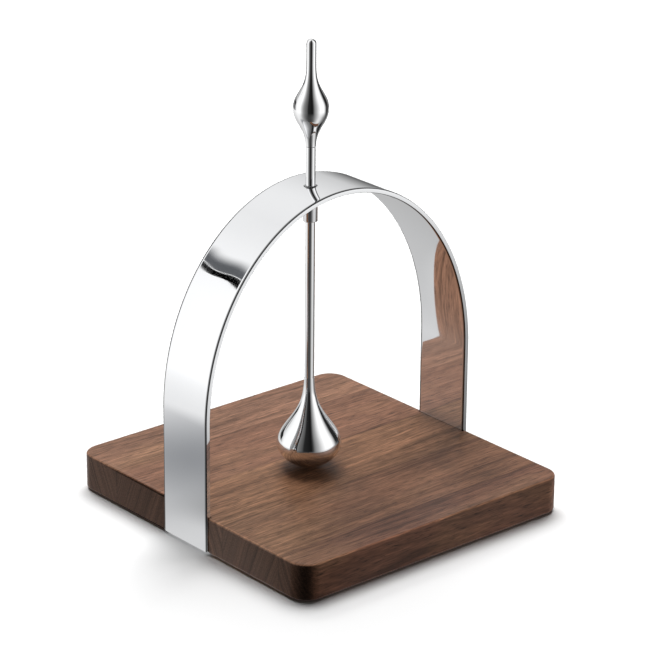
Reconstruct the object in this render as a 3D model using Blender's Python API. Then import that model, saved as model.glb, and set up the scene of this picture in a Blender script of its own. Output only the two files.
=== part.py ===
"""Arched table-top holder with a drop-shaped weight on a sliding rod.

A walnut board stands on four rubber pads.  A flat steel bar is bent into an
arch over it, let into the board's two ends and screwed up from below.  A bush
under the crown guides a slim rod, with a drop-shaped weight at its lower end
and a spindle-shaped grip at its upper end.  The rod slides and turns freely.

Units are metres.  The origin is on the table, under the middle of the board.
+X runs along the arch's span, +Y across the bar and +Z up.
"""

import math

import bmesh
import bpy
from mathutils import Matrix, Vector

MM = 0.001
GAP = 0.3 * MM                   # space left between fixed neighbours

# Board
BOARD_LENGTH = 200 * MM          # along X, over the two slotted ends
BOARD_WIDTH = 210 * MM           # along Y
BOARD_UNDER_Z = 1.3 * MM         # what the pads lift it by
BOARD_TOP_Z = 23.3 * MM
BOARD_CORNER_RADIUS = 12 * MM
BOARD_ARRIS = 1.2 * MM           # rounding of the top and bottom edges

# Arch: straight legs, then half an ellipse
STRIP_WIDTH = 40 * MM            # along Y
STRIP_THICKNESS = 3.2 * MM
ARCH_HALF_SPAN = 101 * MM        # to the outer faces, which stand 1 mm proud
ARCH_SPRING_Z = 78.5 * MM        # where the legs start to bend
ARCH_TOP_Z = 199 * MM
ARCH_STATIONS = 72
STRIP_CHAMFER = 0.3 * MM
FOOT_TURN = 28 * MM              # length of the end turned in under the board
FOOT_UNDER_Z = 1.6 * MM
FOOT_CORNER_RADIUS = 0.8 * MM
FOOT_CORNER_STEPS = 4
SLOT_SIDE_GAP = 0.5 * MM         # on each side of the bar in its slot

# Guide
GUIDE_X = -8 * MM                # the rod stands a little to one side of the arch's middle
GUIDE_AXIS = (GUIDE_X, 0.0, 0.0)
ROD_RADIUS = 2.85 * MM
BUSH_RADIUS = 4.25 * MM
BUSH_BORE_RADIUS = 3.75 * MM
BUSH_LIP_RADIUS = 3.1 * MM       # lip that holds the liner up
BUSH_LIP_HEIGHT = 1.0 * MM
BUSH_UNDER_Z = 177.4 * MM
BUSH_EDGE = 0.4 * MM
LINER_RADIUS = 3.5 * MM
LINER_NECK_RADIUS = 3.25 * MM    # the part that shows in the crown's hole
LINER_BORE_RADIUS = 2.95 * MM
LINER_PROUD = 0.4 * MM
CROWN_HOLE_RADIUS = 3.5 * MM

# Drop-shaped weight and spindle-shaped grip
DROP_RADIUS = 19.3 * MM
DROP_UNDER_Z = BOARD_TOP_Z + GAP
DROP_BOWL_HEIGHT = 15 * MM       # from its lowest point to its widest
DROP_NECK_SPREAD = 19.2 * MM
DROP_TOP_Z = 80 * MM
BOWL_POWER = 1.8
BOWL_ROOT = 0.588
GRIP_UNDER_Z = 222.5 * MM
GRIP_BELLY_Z = 245 * MM
GRIP_RADIUS = 10.3 * MM
GRIP_SPREAD = 12.3 * MM
GRIP_POWER = 2.3
GRIP_TOP_Z = 286 * MM

# Studs that join the rod to the weight and to the grip
STUD_RADIUS = 1.5 * MM
STUD_HOLE_RADIUS = 1.8 * MM
STUD_HALF_LENGTH = 6 * MM

# Fixings under the board
FIXING_X = 84 * MM
FIXING_Y = 11 * MM
SCREW_HEAD_RADIUS = 3.6 * MM
SCREW_HEAD_HEIGHT = 1.9 * MM
SCREW_HEAD_Z = FOOT_UNDER_Z + 0.2 * MM
SCREW_RADIUS = 1.9 * MM
SCREW_LENGTH = 11 * MM
SOCKET_RADIUS = 1.45 * MM        # across the corners of the hexagon
SOCKET_DEPTH = 1.3 * MM
SCREW_HOLE_RADIUS = 2.3 * MM
COUNTERSINK_RADIUS = 4.3 * MM
COUNTERSINK_DEPTH = 2.1 * MM
INSERT_RADIUS = 3.5 * MM
INSERT_BORE_RADIUS = 2.2 * MM
INSERT_LENGTH = 7 * MM
INSERT_HOLE_TOP_Z = 14.5 * MM

# Pads
PAD_X = 80 * MM
PAD_Y = 86 * MM
PAD_RADIUS = 7 * MM
PAD_HEIGHT = 2.8 * MM
PAD_EDGE = 0.5 * MM

ROUND_STEPS = 32                 # sides of the slim round pieces
SMALL_STEPS = 24                 # sides of the fixings and pads
DROP_STEPS = 40
HEX_STEPS = 6
QUARTER_STEPS = 4                # steps in a rounded edge
SMOOTH_ANGLE = math.radians(35)

COLOURS = {
    "walnut": ((0.155, 0.082, 0.048), 0.42, 0.0),
    "polished_steel": ((0.83, 0.84, 0.86), 0.04, 1.0),
    "bush_steel": ((0.74, 0.75, 0.77), 0.12, 1.0),
    "liner_polymer": ((0.05, 0.05, 0.055), 0.45, 0.0),
    "zinc_steel": ((0.55, 0.56, 0.58), 0.3, 1.0),
    "insert_brass": ((0.72, 0.52, 0.25), 0.32, 1.0),
    "pad_rubber": ((0.02, 0.02, 0.02), 0.8, 0.0),
}


def clear_scene():
    """Remove every object, so that the part stands alone."""
    for item in list(bpy.data.objects):
        bpy.data.objects.remove(item, do_unlink=True)


def material(kind, node):
    """Make the material of one piece from its kind of finish."""
    colour, roughness, metallic = COLOURS[kind]
    made = bpy.data.materials.new(node + "_" + kind)
    made.use_nodes = True
    shader = made.node_tree.nodes["Principled BSDF"]
    shader.inputs["Base Color"].default_value = (*colour, 1.0)
    shader.inputs["Roughness"].default_value = roughness
    shader.inputs["Metallic"].default_value = metallic
    made.diffuse_color = (*colour, 1.0)
    return made


def piece_from(name, mesh_edit, kind, axis_at=(0.0, 0.0, 0.0), parent=None):
    """Turn a bmesh into a named object, with its own origin at axis_at."""
    bmesh.ops.remove_doubles(mesh_edit, verts=mesh_edit.verts, dist=1e-7)
    bmesh.ops.recalc_face_normals(mesh_edit, faces=mesh_edit.faces)
    mesh = bpy.data.meshes.new(name)
    mesh_edit.to_mesh(mesh)
    mesh_edit.free()
    mesh.shade_smooth()
    mesh.set_sharp_from_angle(angle=SMOOTH_ANGLE)
    item = bpy.data.objects.new(name, mesh)
    bpy.context.collection.objects.link(item)
    if kind:
        mesh.materials.append(material(kind, name))
    if parent is not None:
        item.parent = parent
        axis_at = Vector(axis_at) - parent.matrix_world.translation
    item.location = axis_at
    return item


def joint_axis(name, place):
    """An empty that marks a joint's axis and carries the pieces that move on it."""
    marker = bpy.data.objects.new(name, None)
    marker.empty_display_size = 20 * MM
    marker.location = place
    marker.matrix_world = Matrix.Translation(place)
    bpy.context.collection.objects.link(marker)
    return marker


def cutter_from(name, mesh_edit):
    """A guide solid that only cuts others."""
    item = piece_from(name, mesh_edit, None)
    item.hide_render = True
    item.display_type = "WIRE"
    return item


def cut(item, cutter):
    """Take a cutter's volume away from a piece."""
    step = item.modifiers.new(cutter.name, "BOOLEAN")
    step.operation = "DIFFERENCE"
    step.solver = "EXACT"
    step.object = cutter


def add_turned(mesh_edit, profile, steps, centre=(0.0, 0.0)):
    """Turn a closed profile of (radius, height) points about a vertical axis.

    The profile runs round the section.  A point at radius 0 becomes one vertex.
    """
    rings = []
    for radius, height in profile:
        count = steps if radius > 0 else 1
        ring = [
            mesh_edit.verts.new((
                centre[0] + radius * math.cos(2 * math.pi * i / steps),
                centre[1] + radius * math.sin(2 * math.pi * i / steps),
                height,
            ))
            for i in range(count)
        ]
        rings.append(ring)
    for lower, upper in zip(rings, rings[1:] + rings[:1]):
        if len(lower) == 1 and len(upper) == 1:
            continue
        for i in range(steps):
            corners = [
                lower[i % len(lower)],
                lower[(i + 1) % len(lower)],
                upper[(i + 1) % len(upper)],
                upper[i % len(upper)],
            ]
            corners = list(dict.fromkeys(corners))
            mesh_edit.faces.new(corners)


def turned(profile, steps=ROUND_STEPS, centre=(0.0, 0.0)):
    """A bmesh with one turned solid."""
    mesh_edit = bmesh.new()
    add_turned(mesh_edit, profile, steps, centre)
    return mesh_edit


def quarter(centre, radius, start_degrees, steps=QUARTER_STEPS):
    """Points of a quarter circle, from start_degrees on, anticlockwise."""
    start = math.radians(start_degrees)
    return [
        (
            centre[0] + radius * math.cos(start + 0.5 * math.pi * i / steps),
            centre[1] + radius * math.sin(start + 0.5 * math.pi * i / steps),
        )
        for i in range(steps + 1)
    ]


def add_box(mesh_edit, low, high):
    """Add a box between two corners."""
    centre = [(a + b) / 2 for a, b in zip(low, high)]
    size = [b - a for a, b in zip(low, high)]
    place = Matrix.Translation(centre) @ Matrix.Diagonal((*size, 1.0))
    bmesh.ops.create_cube(mesh_edit, size=1.0, matrix=place)


def bell(offset, spread, power):
    """A smooth bump: 1 at its middle, falling to 0 over a few spreads."""
    return math.exp(-abs(offset / spread) ** power)


def crown_height(x, depth=0.0):
    """Height of the arch's outer face above x, or of a face depth inside it."""
    half_span = ARCH_HALF_SPAN - depth
    rise = ARCH_TOP_Z - ARCH_SPRING_Z - depth
    return ARCH_SPRING_Z + rise * math.sqrt(1 - (x / half_span) ** 2)


def make_board():
    """The walnut board, with slots and recesses for the arch's two feet."""
    half_x = BOARD_LENGTH / 2 - BOARD_CORNER_RADIUS
    half_y = BOARD_WIDTH / 2 - BOARD_CORNER_RADIUS
    outline = []
    for turn, (sign_x, sign_y) in enumerate([(1, 1), (-1, 1), (-1, -1), (1, -1)]):
        centre = (sign_x * half_x, sign_y * half_y)
        outline += quarter(centre, BOARD_CORNER_RADIUS, 90 * turn, steps=8)
    mesh_edit = bmesh.new()
    under = mesh_edit.faces.new([mesh_edit.verts.new((x, y, BOARD_UNDER_Z)) for x, y in outline])
    grown = bmesh.ops.extrude_face_region(mesh_edit, geom=[under])
    raised = [part for part in grown["geom"] if isinstance(part, bmesh.types.BMVert)]
    bmesh.ops.translate(mesh_edit, verts=raised, vec=(0, 0, BOARD_TOP_Z - BOARD_UNDER_Z))
    rims = [edge for edge in mesh_edit.edges if abs(edge.verts[0].co.z - edge.verts[1].co.z) < 1e-9]
    bmesh.ops.bevel(mesh_edit, geom=rims, offset=BOARD_ARRIS, segments=3, profile=0.5, affect="EDGES")
    board = piece_from("base_board", mesh_edit, "walnut")

    slots = bmesh.new()
    slot_floor_x = ARCH_HALF_SPAN - STRIP_THICKNESS - GAP
    slot_half_width = STRIP_WIDTH / 2 + SLOT_SIDE_GAP
    recess_top_z = FOOT_UNDER_Z + STRIP_THICKNESS + GAP
    clear_out = 5 * MM
    for side in (-1, 1):
        outline = [
            (slot_floor_x, BOARD_TOP_Z + clear_out),
            (slot_floor_x, recess_top_z),
            (ARCH_HALF_SPAN - FOOT_TURN - GAP, recess_top_z),
            (ARCH_HALF_SPAN - FOOT_TURN - GAP, BOARD_UNDER_Z - clear_out),
            (ARCH_HALF_SPAN + clear_out, BOARD_UNDER_Z - clear_out),
            (ARCH_HALF_SPAN + clear_out, BOARD_TOP_Z + clear_out),
        ]
        near = [slots.verts.new((side * x, -slot_half_width, z)) for x, z in outline]
        face = slots.faces.new(near)
        grown = bmesh.ops.extrude_face_region(slots, geom=[face])
        moved = [part for part in grown["geom"] if isinstance(part, bmesh.types.BMVert)]
        bmesh.ops.translate(slots, verts=moved, vec=(0, 2 * slot_half_width, 0))
    cut(board, cutter_from("slot_cutter", slots))

    holes = bmesh.new()
    hole = cylinder_profile(INSERT_RADIUS + GAP, FOOT_UNDER_Z, INSERT_HOLE_TOP_Z)
    for place in fixing_places().values():
        add_turned(holes, hole, SMALL_STEPS, place)
    cut(board, cutter_from("insert_hole_cutter", holes))

    sockets = bmesh.new()
    socket = cylinder_profile(PAD_RADIUS + GAP, BOARD_UNDER_Z - clear_out, PAD_HEIGHT + GAP)
    for place in pad_places().values():
        add_turned(sockets, socket, ROUND_STEPS, place)
    cut(board, cutter_from("pad_socket_cutter", sockets))
    return board


def cylinder_profile(radius, low_z, high_z):
    """Section of a plain solid cylinder."""
    return [(0, low_z), (radius, low_z), (radius, high_z), (0, high_z)]


def corner_names():
    """The four corners by name, with the sign of X and of Y at each."""
    sides = {"left": -1, "right": 1}
    ends = {"front": -1, "rear": 1}
    return {side + "_" + end: (sides[side], ends[end]) for side in sides for end in ends}


def fixing_places():
    """Where each screw and insert stands."""
    return {name: (sx * FIXING_X, sy * FIXING_Y) for name, (sx, sy) in corner_names().items()}


def pad_places():
    """Where each pad stands."""
    return {name: (sx * PAD_X, sy * PAD_Y) for name, (sx, sy) in corner_names().items()}


def arch_section():
    """Pairs of (outer, inner) points along the left half of the bent bar.

    They run from the end of the left foot, round the lower corner, up the leg
    and along the ellipse to the crown.
    """
    foot_end = -(ARCH_HALF_SPAN - FOOT_TURN)
    foot_top_z = FOOT_UNDER_Z + STRIP_THICKNESS
    inner_corner = (-(ARCH_HALF_SPAN - STRIP_THICKNESS), foot_top_z)
    pairs = [((foot_end, FOOT_UNDER_Z), (foot_end, foot_top_z))]
    centre = (-(ARCH_HALF_SPAN - FOOT_CORNER_RADIUS), FOOT_UNDER_Z + FOOT_CORNER_RADIUS)
    pairs.append(((inner_corner[0], FOOT_UNDER_Z), inner_corner))
    bend = quarter(centre, FOOT_CORNER_RADIUS, 180, FOOT_CORNER_STEPS)
    pairs += [(point, inner_corner) for point in reversed(bend)]
    pairs.append(((-ARCH_HALF_SPAN, foot_top_z), inner_corner))
    rise = ARCH_TOP_Z - ARCH_SPRING_Z
    half = ARCH_STATIONS // 2
    for i in range(half + 1):
        angle = 0.5 * math.pi * i / half
        outer = Vector((-ARCH_HALF_SPAN * math.cos(angle), ARCH_SPRING_Z + rise * math.sin(angle)))
        inward = Vector((math.cos(angle) / ARCH_HALF_SPAN, -math.sin(angle) / rise)).normalized()
        pairs.append((tuple(outer), tuple(outer + inward * STRIP_THICKNESS)))
    return pairs


def make_arch():
    """The bent flat bar, from foot to foot, with its holes."""
    left = arch_section()
    right = [((-ox, oz), (-ix, iz)) for (ox, oz), (ix, iz) in reversed(left[:-1])]
    half_width = STRIP_WIDTH / 2
    mesh_edit = bmesh.new()
    rings = []
    last_inner = None
    for (ox, oz), inner in left + right:
        outer_near = mesh_edit.verts.new((ox, -half_width, oz))
        outer_far = mesh_edit.verts.new((ox, half_width, oz))
        if inner == last_inner:
            inner_far, inner_near = rings[-1][2:]
        else:
            inner_far = mesh_edit.verts.new((inner[0], half_width, inner[1]))
            inner_near = mesh_edit.verts.new((inner[0], -half_width, inner[1]))
        last_inner = inner
        rings.append((outer_near, outer_far, inner_far, inner_near))
    for first, second in zip(rings, rings[1:]):
        for i in range(4):
            corners = [first[i], first[(i + 1) % 4], second[(i + 1) % 4], second[i]]
            corners = list(dict.fromkeys(corners))
            if len(corners) > 2:
                mesh_edit.faces.new(corners)
    mesh_edit.faces.new(rings[0])
    mesh_edit.faces.new(rings[-1])
    arch = piece_from("arch_strip", mesh_edit, "polished_steel")
    rounding = arch.modifiers.new("edge_chamfer", "BEVEL")
    rounding.width = STRIP_CHAMFER
    rounding.segments = 1
    rounding.limit_method = "ANGLE"
    rounding.angle_limit = math.radians(60)

    hole = cylinder_profile(CROWN_HOLE_RADIUS, BUSH_UNDER_Z, ARCH_TOP_Z + BUSH_RADIUS)
    cut(arch, cutter_from("crown_hole_cutter", turned(hole, ROUND_STEPS, (GUIDE_X, 0))))

    countersinks = bmesh.new()
    clear_out = 1 * MM
    slope = (COUNTERSINK_RADIUS - SCREW_HOLE_RADIUS) / COUNTERSINK_DEPTH
    profile = [
        (0, FOOT_UNDER_Z - clear_out),
        (COUNTERSINK_RADIUS + slope * clear_out, FOOT_UNDER_Z - clear_out),
        (SCREW_HOLE_RADIUS, FOOT_UNDER_Z + COUNTERSINK_DEPTH),
        (SCREW_HOLE_RADIUS, FOOT_UNDER_Z + STRIP_THICKNESS + clear_out),
        (0, FOOT_UNDER_Z + STRIP_THICKNESS + clear_out),
    ]
    for place in fixing_places().values():
        add_turned(countersinks, profile, SMALL_STEPS, place)
    cut(arch, cutter_from("countersink_cutter", countersinks))
    return arch


def make_bush():
    """The sleeve under the crown, its top cut to follow the bent bar."""
    top_z = ARCH_TOP_Z
    profile = [
        (BUSH_LIP_RADIUS, BUSH_UNDER_Z),
        *quarter((BUSH_RADIUS - BUSH_EDGE, BUSH_UNDER_Z + BUSH_EDGE), BUSH_EDGE, 270, 3),
        (BUSH_RADIUS, top_z),
        (BUSH_BORE_RADIUS, top_z),
        (BUSH_BORE_RADIUS, BUSH_UNDER_Z + BUSH_LIP_HEIGHT),
        (BUSH_LIP_RADIUS, BUSH_UNDER_Z + BUSH_LIP_HEIGHT),
    ]
    mesh_edit = turned(profile)
    for vertex in mesh_edit.verts:
        if abs(vertex.co.z - top_z) < 1e-9:
            vertex.co.z = crown_height(vertex.co.x + GUIDE_X, STRIP_THICKNESS) - GAP
    return piece_from("guide_bush", mesh_edit, "bush_steel", GUIDE_AXIS)


def make_liner(parent):
    """The polymer sleeve that the rod runs in, held between bush and crown."""
    shoulder_z = crown_height(GUIDE_X - LINER_RADIUS, STRIP_THICKNESS) - GAP
    neck_top_z = crown_height(GUIDE_X) + LINER_PROUD
    under_z = BUSH_UNDER_Z + BUSH_LIP_HEIGHT + GAP
    profile = [
        (LINER_BORE_RADIUS, under_z),
        (LINER_RADIUS, under_z),
        (LINER_RADIUS, shoulder_z),
        (LINER_NECK_RADIUS, shoulder_z),
        (LINER_NECK_RADIUS, neck_top_z),
        (LINER_BORE_RADIUS, neck_top_z),
    ]
    return piece_from("bush_liner", turned(profile), "liner_polymer", GUIDE_AXIS, parent)


def make_rod(parent):
    """The slim rod, with a tapped hole in each end."""
    low_z = DROP_TOP_Z + GAP
    high_z = GRIP_UNDER_Z - GAP
    depth = STUD_HALF_LENGTH + GAP
    profile = [
        (0, low_z + depth),
        (STUD_HOLE_RADIUS, low_z + depth),
        (STUD_HOLE_RADIUS, low_z),
        (ROD_RADIUS, low_z),
        (ROD_RADIUS, high_z),
        (STUD_HOLE_RADIUS, high_z),
        (STUD_HOLE_RADIUS, high_z - depth),
        (0, high_z - depth),
    ]
    return piece_from("guide_rod", turned(profile), "polished_steel", GUIDE_AXIS, parent)


def make_drop(parent):
    """The drop-shaped weight: a round bowl below, a long neck above."""
    bowl_steps = 12
    neck_steps = 15
    swell = DROP_RADIUS - ROD_RADIUS
    profile = []
    for i in range(bowl_steps):
        share = 1 - math.cos(0.5 * math.pi * i / bowl_steps)
        radius = DROP_RADIUS * (1 - (1 - share) ** BOWL_POWER) ** BOWL_ROOT
        profile.append((radius, DROP_UNDER_Z + share * DROP_BOWL_HEIGHT))
    widest_z = DROP_UNDER_Z + DROP_BOWL_HEIGHT
    for i in range(neck_steps + 1):
        height = (DROP_TOP_Z - widest_z) * i / neck_steps
        profile.append((ROD_RADIUS + swell * bell(height, DROP_NECK_SPREAD, 2), widest_z + height))
    depth = STUD_HALF_LENGTH + GAP
    profile += [
        (STUD_HOLE_RADIUS, DROP_TOP_Z),
        (STUD_HOLE_RADIUS, DROP_TOP_Z - depth),
        (0, DROP_TOP_Z - depth),
    ]
    drop = turned(profile, DROP_STEPS)
    return piece_from("drop_weight", drop, "polished_steel", GUIDE_AXIS, parent)


def make_grip(parent):
    """The spindle-shaped grip, with a rounded tip."""
    steps = 20
    tip_start_z = GRIP_TOP_Z - ROD_RADIUS
    bell_top_z = GRIP_BELLY_Z + (GRIP_BELLY_Z - GRIP_UNDER_Z) * 1.2
    depth = STUD_HALF_LENGTH + GAP
    swell = GRIP_RADIUS - ROD_RADIUS
    profile = [
        (0, GRIP_UNDER_Z + depth),
        (STUD_HOLE_RADIUS, GRIP_UNDER_Z + depth),
        (STUD_HOLE_RADIUS, GRIP_UNDER_Z),
    ]
    for i in range(steps + 1):
        z = GRIP_UNDER_Z + (bell_top_z - GRIP_UNDER_Z) * i / steps
        profile.append((ROD_RADIUS + swell * bell(z - GRIP_BELLY_Z, GRIP_SPREAD, GRIP_POWER), z))
    tip = quarter((0, tip_start_z), ROD_RADIUS, 0)
    profile += tip[:-1] + [(0, GRIP_TOP_Z)]
    return piece_from("spindle_grip", turned(profile), "polished_steel", GUIDE_AXIS, parent)


def make_stud(name, middle_z, parent):
    """A headless stud with small chamfers at its ends."""
    chamfer = 0.3 * MM
    low_z = middle_z - STUD_HALF_LENGTH
    high_z = middle_z + STUD_HALF_LENGTH
    profile = [
        (0, low_z),
        (STUD_RADIUS - chamfer, low_z),
        (STUD_RADIUS, low_z + chamfer),
        (STUD_RADIUS, high_z - chamfer),
        (STUD_RADIUS - chamfer, high_z),
        (0, high_z),
    ]
    return piece_from(name, turned(profile, SMALL_STEPS), "zinc_steel", GUIDE_AXIS, parent)


def make_screw(name, place):
    """A countersunk screw, head down, with a hexagonal socket."""
    shank_z = SCREW_HEAD_Z + SCREW_HEAD_HEIGHT
    chamfer = 0.4 * MM
    profile = [
        (0, SCREW_HEAD_Z),
        (SCREW_HEAD_RADIUS, SCREW_HEAD_Z),
        (SCREW_RADIUS, shank_z),
        (SCREW_RADIUS, SCREW_HEAD_Z + SCREW_LENGTH - chamfer),
        (SCREW_RADIUS - chamfer, SCREW_HEAD_Z + SCREW_LENGTH),
        (0, SCREW_HEAD_Z + SCREW_LENGTH),
    ]
    screw = piece_from(name, turned(profile, SMALL_STEPS), "zinc_steel", (*place, 0))
    profile = cylinder_profile(SOCKET_RADIUS, SCREW_HEAD_Z - SOCKET_DEPTH, SCREW_HEAD_Z + SOCKET_DEPTH)
    socket = turned(profile, HEX_STEPS, place)
    cut(screw, cutter_from(name + "_socket_cutter", socket))
    return screw


def make_insert(name, place):
    """A threaded insert in the board, above the foot."""
    low_z = FOOT_UNDER_Z + STRIP_THICKNESS + 2 * GAP
    high_z = low_z + INSERT_LENGTH
    chamfer = 0.5 * MM
    profile = [
        (INSERT_BORE_RADIUS, low_z),
        (INSERT_RADIUS, low_z),
        (INSERT_RADIUS, high_z - chamfer),
        (INSERT_RADIUS - chamfer, high_z),
        (INSERT_BORE_RADIUS, high_z),
    ]
    return piece_from(name, turned(profile, SMALL_STEPS), "insert_brass", (*place, 0))


def make_pad(name, place):
    """A rubber pad, set in its socket under the board."""
    rounding = quarter((PAD_RADIUS - PAD_EDGE, PAD_EDGE), PAD_EDGE, 270, 2)
    profile = [(0, 0), *rounding, (PAD_RADIUS, PAD_HEIGHT), (0, PAD_HEIGHT)]
    return piece_from(name, turned(profile, SMALL_STEPS), "pad_rubber", (*place, 0))


def main():
    """Build every piece."""
    clear_scene()
    make_board()
    make_arch()
    make_bush()
    spin_axis = joint_axis("liner_spin_axis", (GUIDE_X, 0, BUSH_UNDER_Z))
    lift_axis = joint_axis("plunger_lift_axis", (GUIDE_X, 0, BOARD_TOP_Z))
    make_liner(spin_axis)
    make_rod(lift_axis)
    make_drop(lift_axis)
    make_grip(lift_axis)
    make_stud("lower_stud", DROP_TOP_Z + GAP / 2, lift_axis)
    make_stud("upper_stud", GRIP_UNDER_Z - GAP / 2, lift_axis)
    for name, place in fixing_places().items():
        make_screw("fixing_screw_" + name, place)
        make_insert("threaded_insert_" + name, place)
    for name, place in pad_places().items():
        make_pad("foot_pad_" + name, place)


main()
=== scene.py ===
"""Looks of a walnut and steel table-top holder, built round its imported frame.

A walnut board carries a bent strip of polished steel.  A guide under the crown
holds a slim rod with a drop-shaped weight below and a spindle grip above.
Every mesh is made in metres, in the frame's own axes: +X along the arch's
span, +Y across the strip and +Z up.
"""

import logging
import math
from dataclasses import dataclass, field
from enum import Enum
from typing import Iterable, Sequence

import bmesh
import bpy
from mathutils import Matrix, Vector


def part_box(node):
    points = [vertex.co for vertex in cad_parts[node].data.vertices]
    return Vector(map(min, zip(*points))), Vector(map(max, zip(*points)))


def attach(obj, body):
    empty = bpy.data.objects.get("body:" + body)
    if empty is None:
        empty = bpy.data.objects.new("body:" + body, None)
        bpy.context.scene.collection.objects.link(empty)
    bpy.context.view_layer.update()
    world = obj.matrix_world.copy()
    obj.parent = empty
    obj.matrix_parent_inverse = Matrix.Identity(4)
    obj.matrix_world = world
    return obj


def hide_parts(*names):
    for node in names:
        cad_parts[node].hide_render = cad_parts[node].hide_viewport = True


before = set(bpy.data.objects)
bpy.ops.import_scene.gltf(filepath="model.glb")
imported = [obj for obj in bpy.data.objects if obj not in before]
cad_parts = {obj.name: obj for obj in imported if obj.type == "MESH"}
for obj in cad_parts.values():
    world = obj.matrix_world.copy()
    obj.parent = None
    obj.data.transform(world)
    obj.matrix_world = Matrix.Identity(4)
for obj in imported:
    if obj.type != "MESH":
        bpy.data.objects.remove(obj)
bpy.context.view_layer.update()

MM = 0.001
NODE_COLUMN = 220.0
NODE_ROW = 420.0
log = logging.getLogger("holder")

Point = tuple[float, float]
Colour = tuple[float, float, float]


class Body(Enum):
    """The moving bodies of the frame."""

    STAND = "stand"
    LINER = "liner"
    PLUNGER = "plunger"


class Slot(Enum):
    """The record's material slots."""

    WALNUT = "walnut"
    POLISHED = "polished_steel"
    BUSH = "bush_steel"
    LINER = "liner_polymer"
    ZINC = "zinc_steel"
    BRASS = "insert_brass"
    RUBBER = "pad_rubber"


class Lay(Enum):
    """How the fine marks of a metal surface run."""

    ALONG_STRIP = (9.0, 240.0, 9.0)
    ROUND_AXIS = (14.0, 14.0, 900.0)
    TUMBLED = (260.0, 260.0, 260.0)


# ---------------------------------------------------------------- mesh helpers


def quarter(centre: Point, radius: float, start: float, steps: int) -> list[Point]:
    """Points of a quarter circle, anticlockwise.

    Args:
        centre: Middle of the circle.
        radius: Its radius.
        start: Angle of the first point, in degrees.
        steps: Number of steps along the quarter.

    Returns:
        steps + 1 points.
    """
    points = []
    for step in range(steps + 1):
        angle = math.radians(start + 90.0 * step / steps)
        points.append((centre[0] + radius * math.cos(angle), centre[1] + radius * math.sin(angle)))
    return points


def bell(offset: float, spread: float, power: float) -> float:
    """A smooth swelling: 1 at its middle, falling to 0 over a few spreads.

    Args:
        offset: Distance from the middle.
        spread: Distance at which it has fallen to 1/e.
        power: How flat its top is.

    Returns:
        Its height.
    """
    return math.exp(-abs(offset / spread) ** power)


def turned(profile: Sequence[Point], steps: int, centre: Point) -> bmesh.types.BMesh:
    """Turn a closed section of (radius, height) points about a vertical axis.

    Args:
        profile: The section, in order round it; radius 0 becomes one vertex.
        steps: Number of sides.
        centre: Where the axis stands.

    Returns:
        The turned solid.
    """
    solid = bmesh.new()
    rings = []
    for radius, height in profile:
        count = steps if radius > 0 else 1
        ring = []
        for step in range(count):
            angle = 2 * math.pi * step / steps
            place = (centre[0] + radius * math.cos(angle), centre[1] + radius * math.sin(angle), height)
            ring.append(solid.verts.new(place))
        rings.append(ring)
    for lower, upper in zip(rings, rings[1:] + rings[:1]):
        if len(lower) == 1 and len(upper) == 1:
            continue
        for step in range(steps):
            corners = (
                lower[step % len(lower)],
                lower[(step + 1) % len(lower)],
                upper[(step + 1) % len(upper)],
                upper[step % len(upper)],
            )
            solid.faces.new(list(dict.fromkeys(corners)))
    return solid


def settle(name: str, solid: bmesh.types.BMesh, sharp: float = 32.0) -> bpy.types.Object:
    """Turn a bmesh into a smooth-shaded object at the frame's origin.

    Args:
        name: Name of the piece.
        solid: Its mesh, which is freed.
        sharp: Edges that bend more than this many degrees stay sharp.

    Returns:
        The new object, linked to the scene.
    """
    bmesh.ops.remove_doubles(solid, verts=solid.verts, dist=1e-7)
    bmesh.ops.recalc_face_normals(solid, faces=solid.faces)
    mesh = bpy.data.meshes.new(name)
    solid.to_mesh(mesh)
    solid.free()
    mesh.shade_smooth()
    mesh.set_sharp_from_angle(angle=math.radians(sharp))
    piece = bpy.data.objects.new(name, mesh)
    bpy.context.scene.collection.objects.link(piece)
    return piece


def carve(piece: bpy.types.Object, cutters: Iterable[bmesh.types.BMesh]) -> None:
    """Take the volume of each cutter away from a piece, for good.

    Args:
        piece: The object to cut.
        cutters: The solids to take away, which are freed.
    """
    guides = []
    for number, cutter in enumerate(cutters):
        guide = settle(f"{piece.name}_cutter_{number}", cutter)
        guides.append(guide)
        step = piece.modifiers.new("carve", "BOOLEAN")
        step.operation = "DIFFERENCE"
        step.solver = "EXACT"
        step.object = guide
    weigh = piece.modifiers.new("weighted_normals", "WEIGHTED_NORMAL")
    weigh.keep_sharp = True
    graph = bpy.context.evaluated_depsgraph_get()
    carved = bpy.data.meshes.new_from_object(piece.evaluated_get(graph))
    piece.modifiers.clear()
    piece.data = carved
    carved.name = piece.name
    for guide in guides:
        bpy.data.objects.remove(guide, do_unlink=True)


def dress(
    piece: bpy.types.Object, finish: bpy.types.Material, body: Body, nodes: Sequence[str]
) -> None:
    """Give a piece its finish and tie it to the frame.

    Args:
        piece: The finished mesh object.
        finish: Its material.
        body: The body that it moves with.
        nodes: The CAD nodes that it stands for.
    """
    piece.data.materials.clear()
    piece.data.materials.append(finish)
    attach(piece, body.value)
    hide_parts(*nodes)
    log.info("%s: %d faces, on %s", piece.name, len(piece.data.polygons), body.value)


# ------------------------------------------------------------ material helpers


def empty_material(name: str) -> bpy.types.Material:
    """A material that has no nodes yet.

    Args:
        name: Its name.

    Returns:
        The material.
    """
    material = bpy.data.materials.new(name)
    material.use_nodes = True
    material.node_tree.nodes.clear()
    return material


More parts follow.
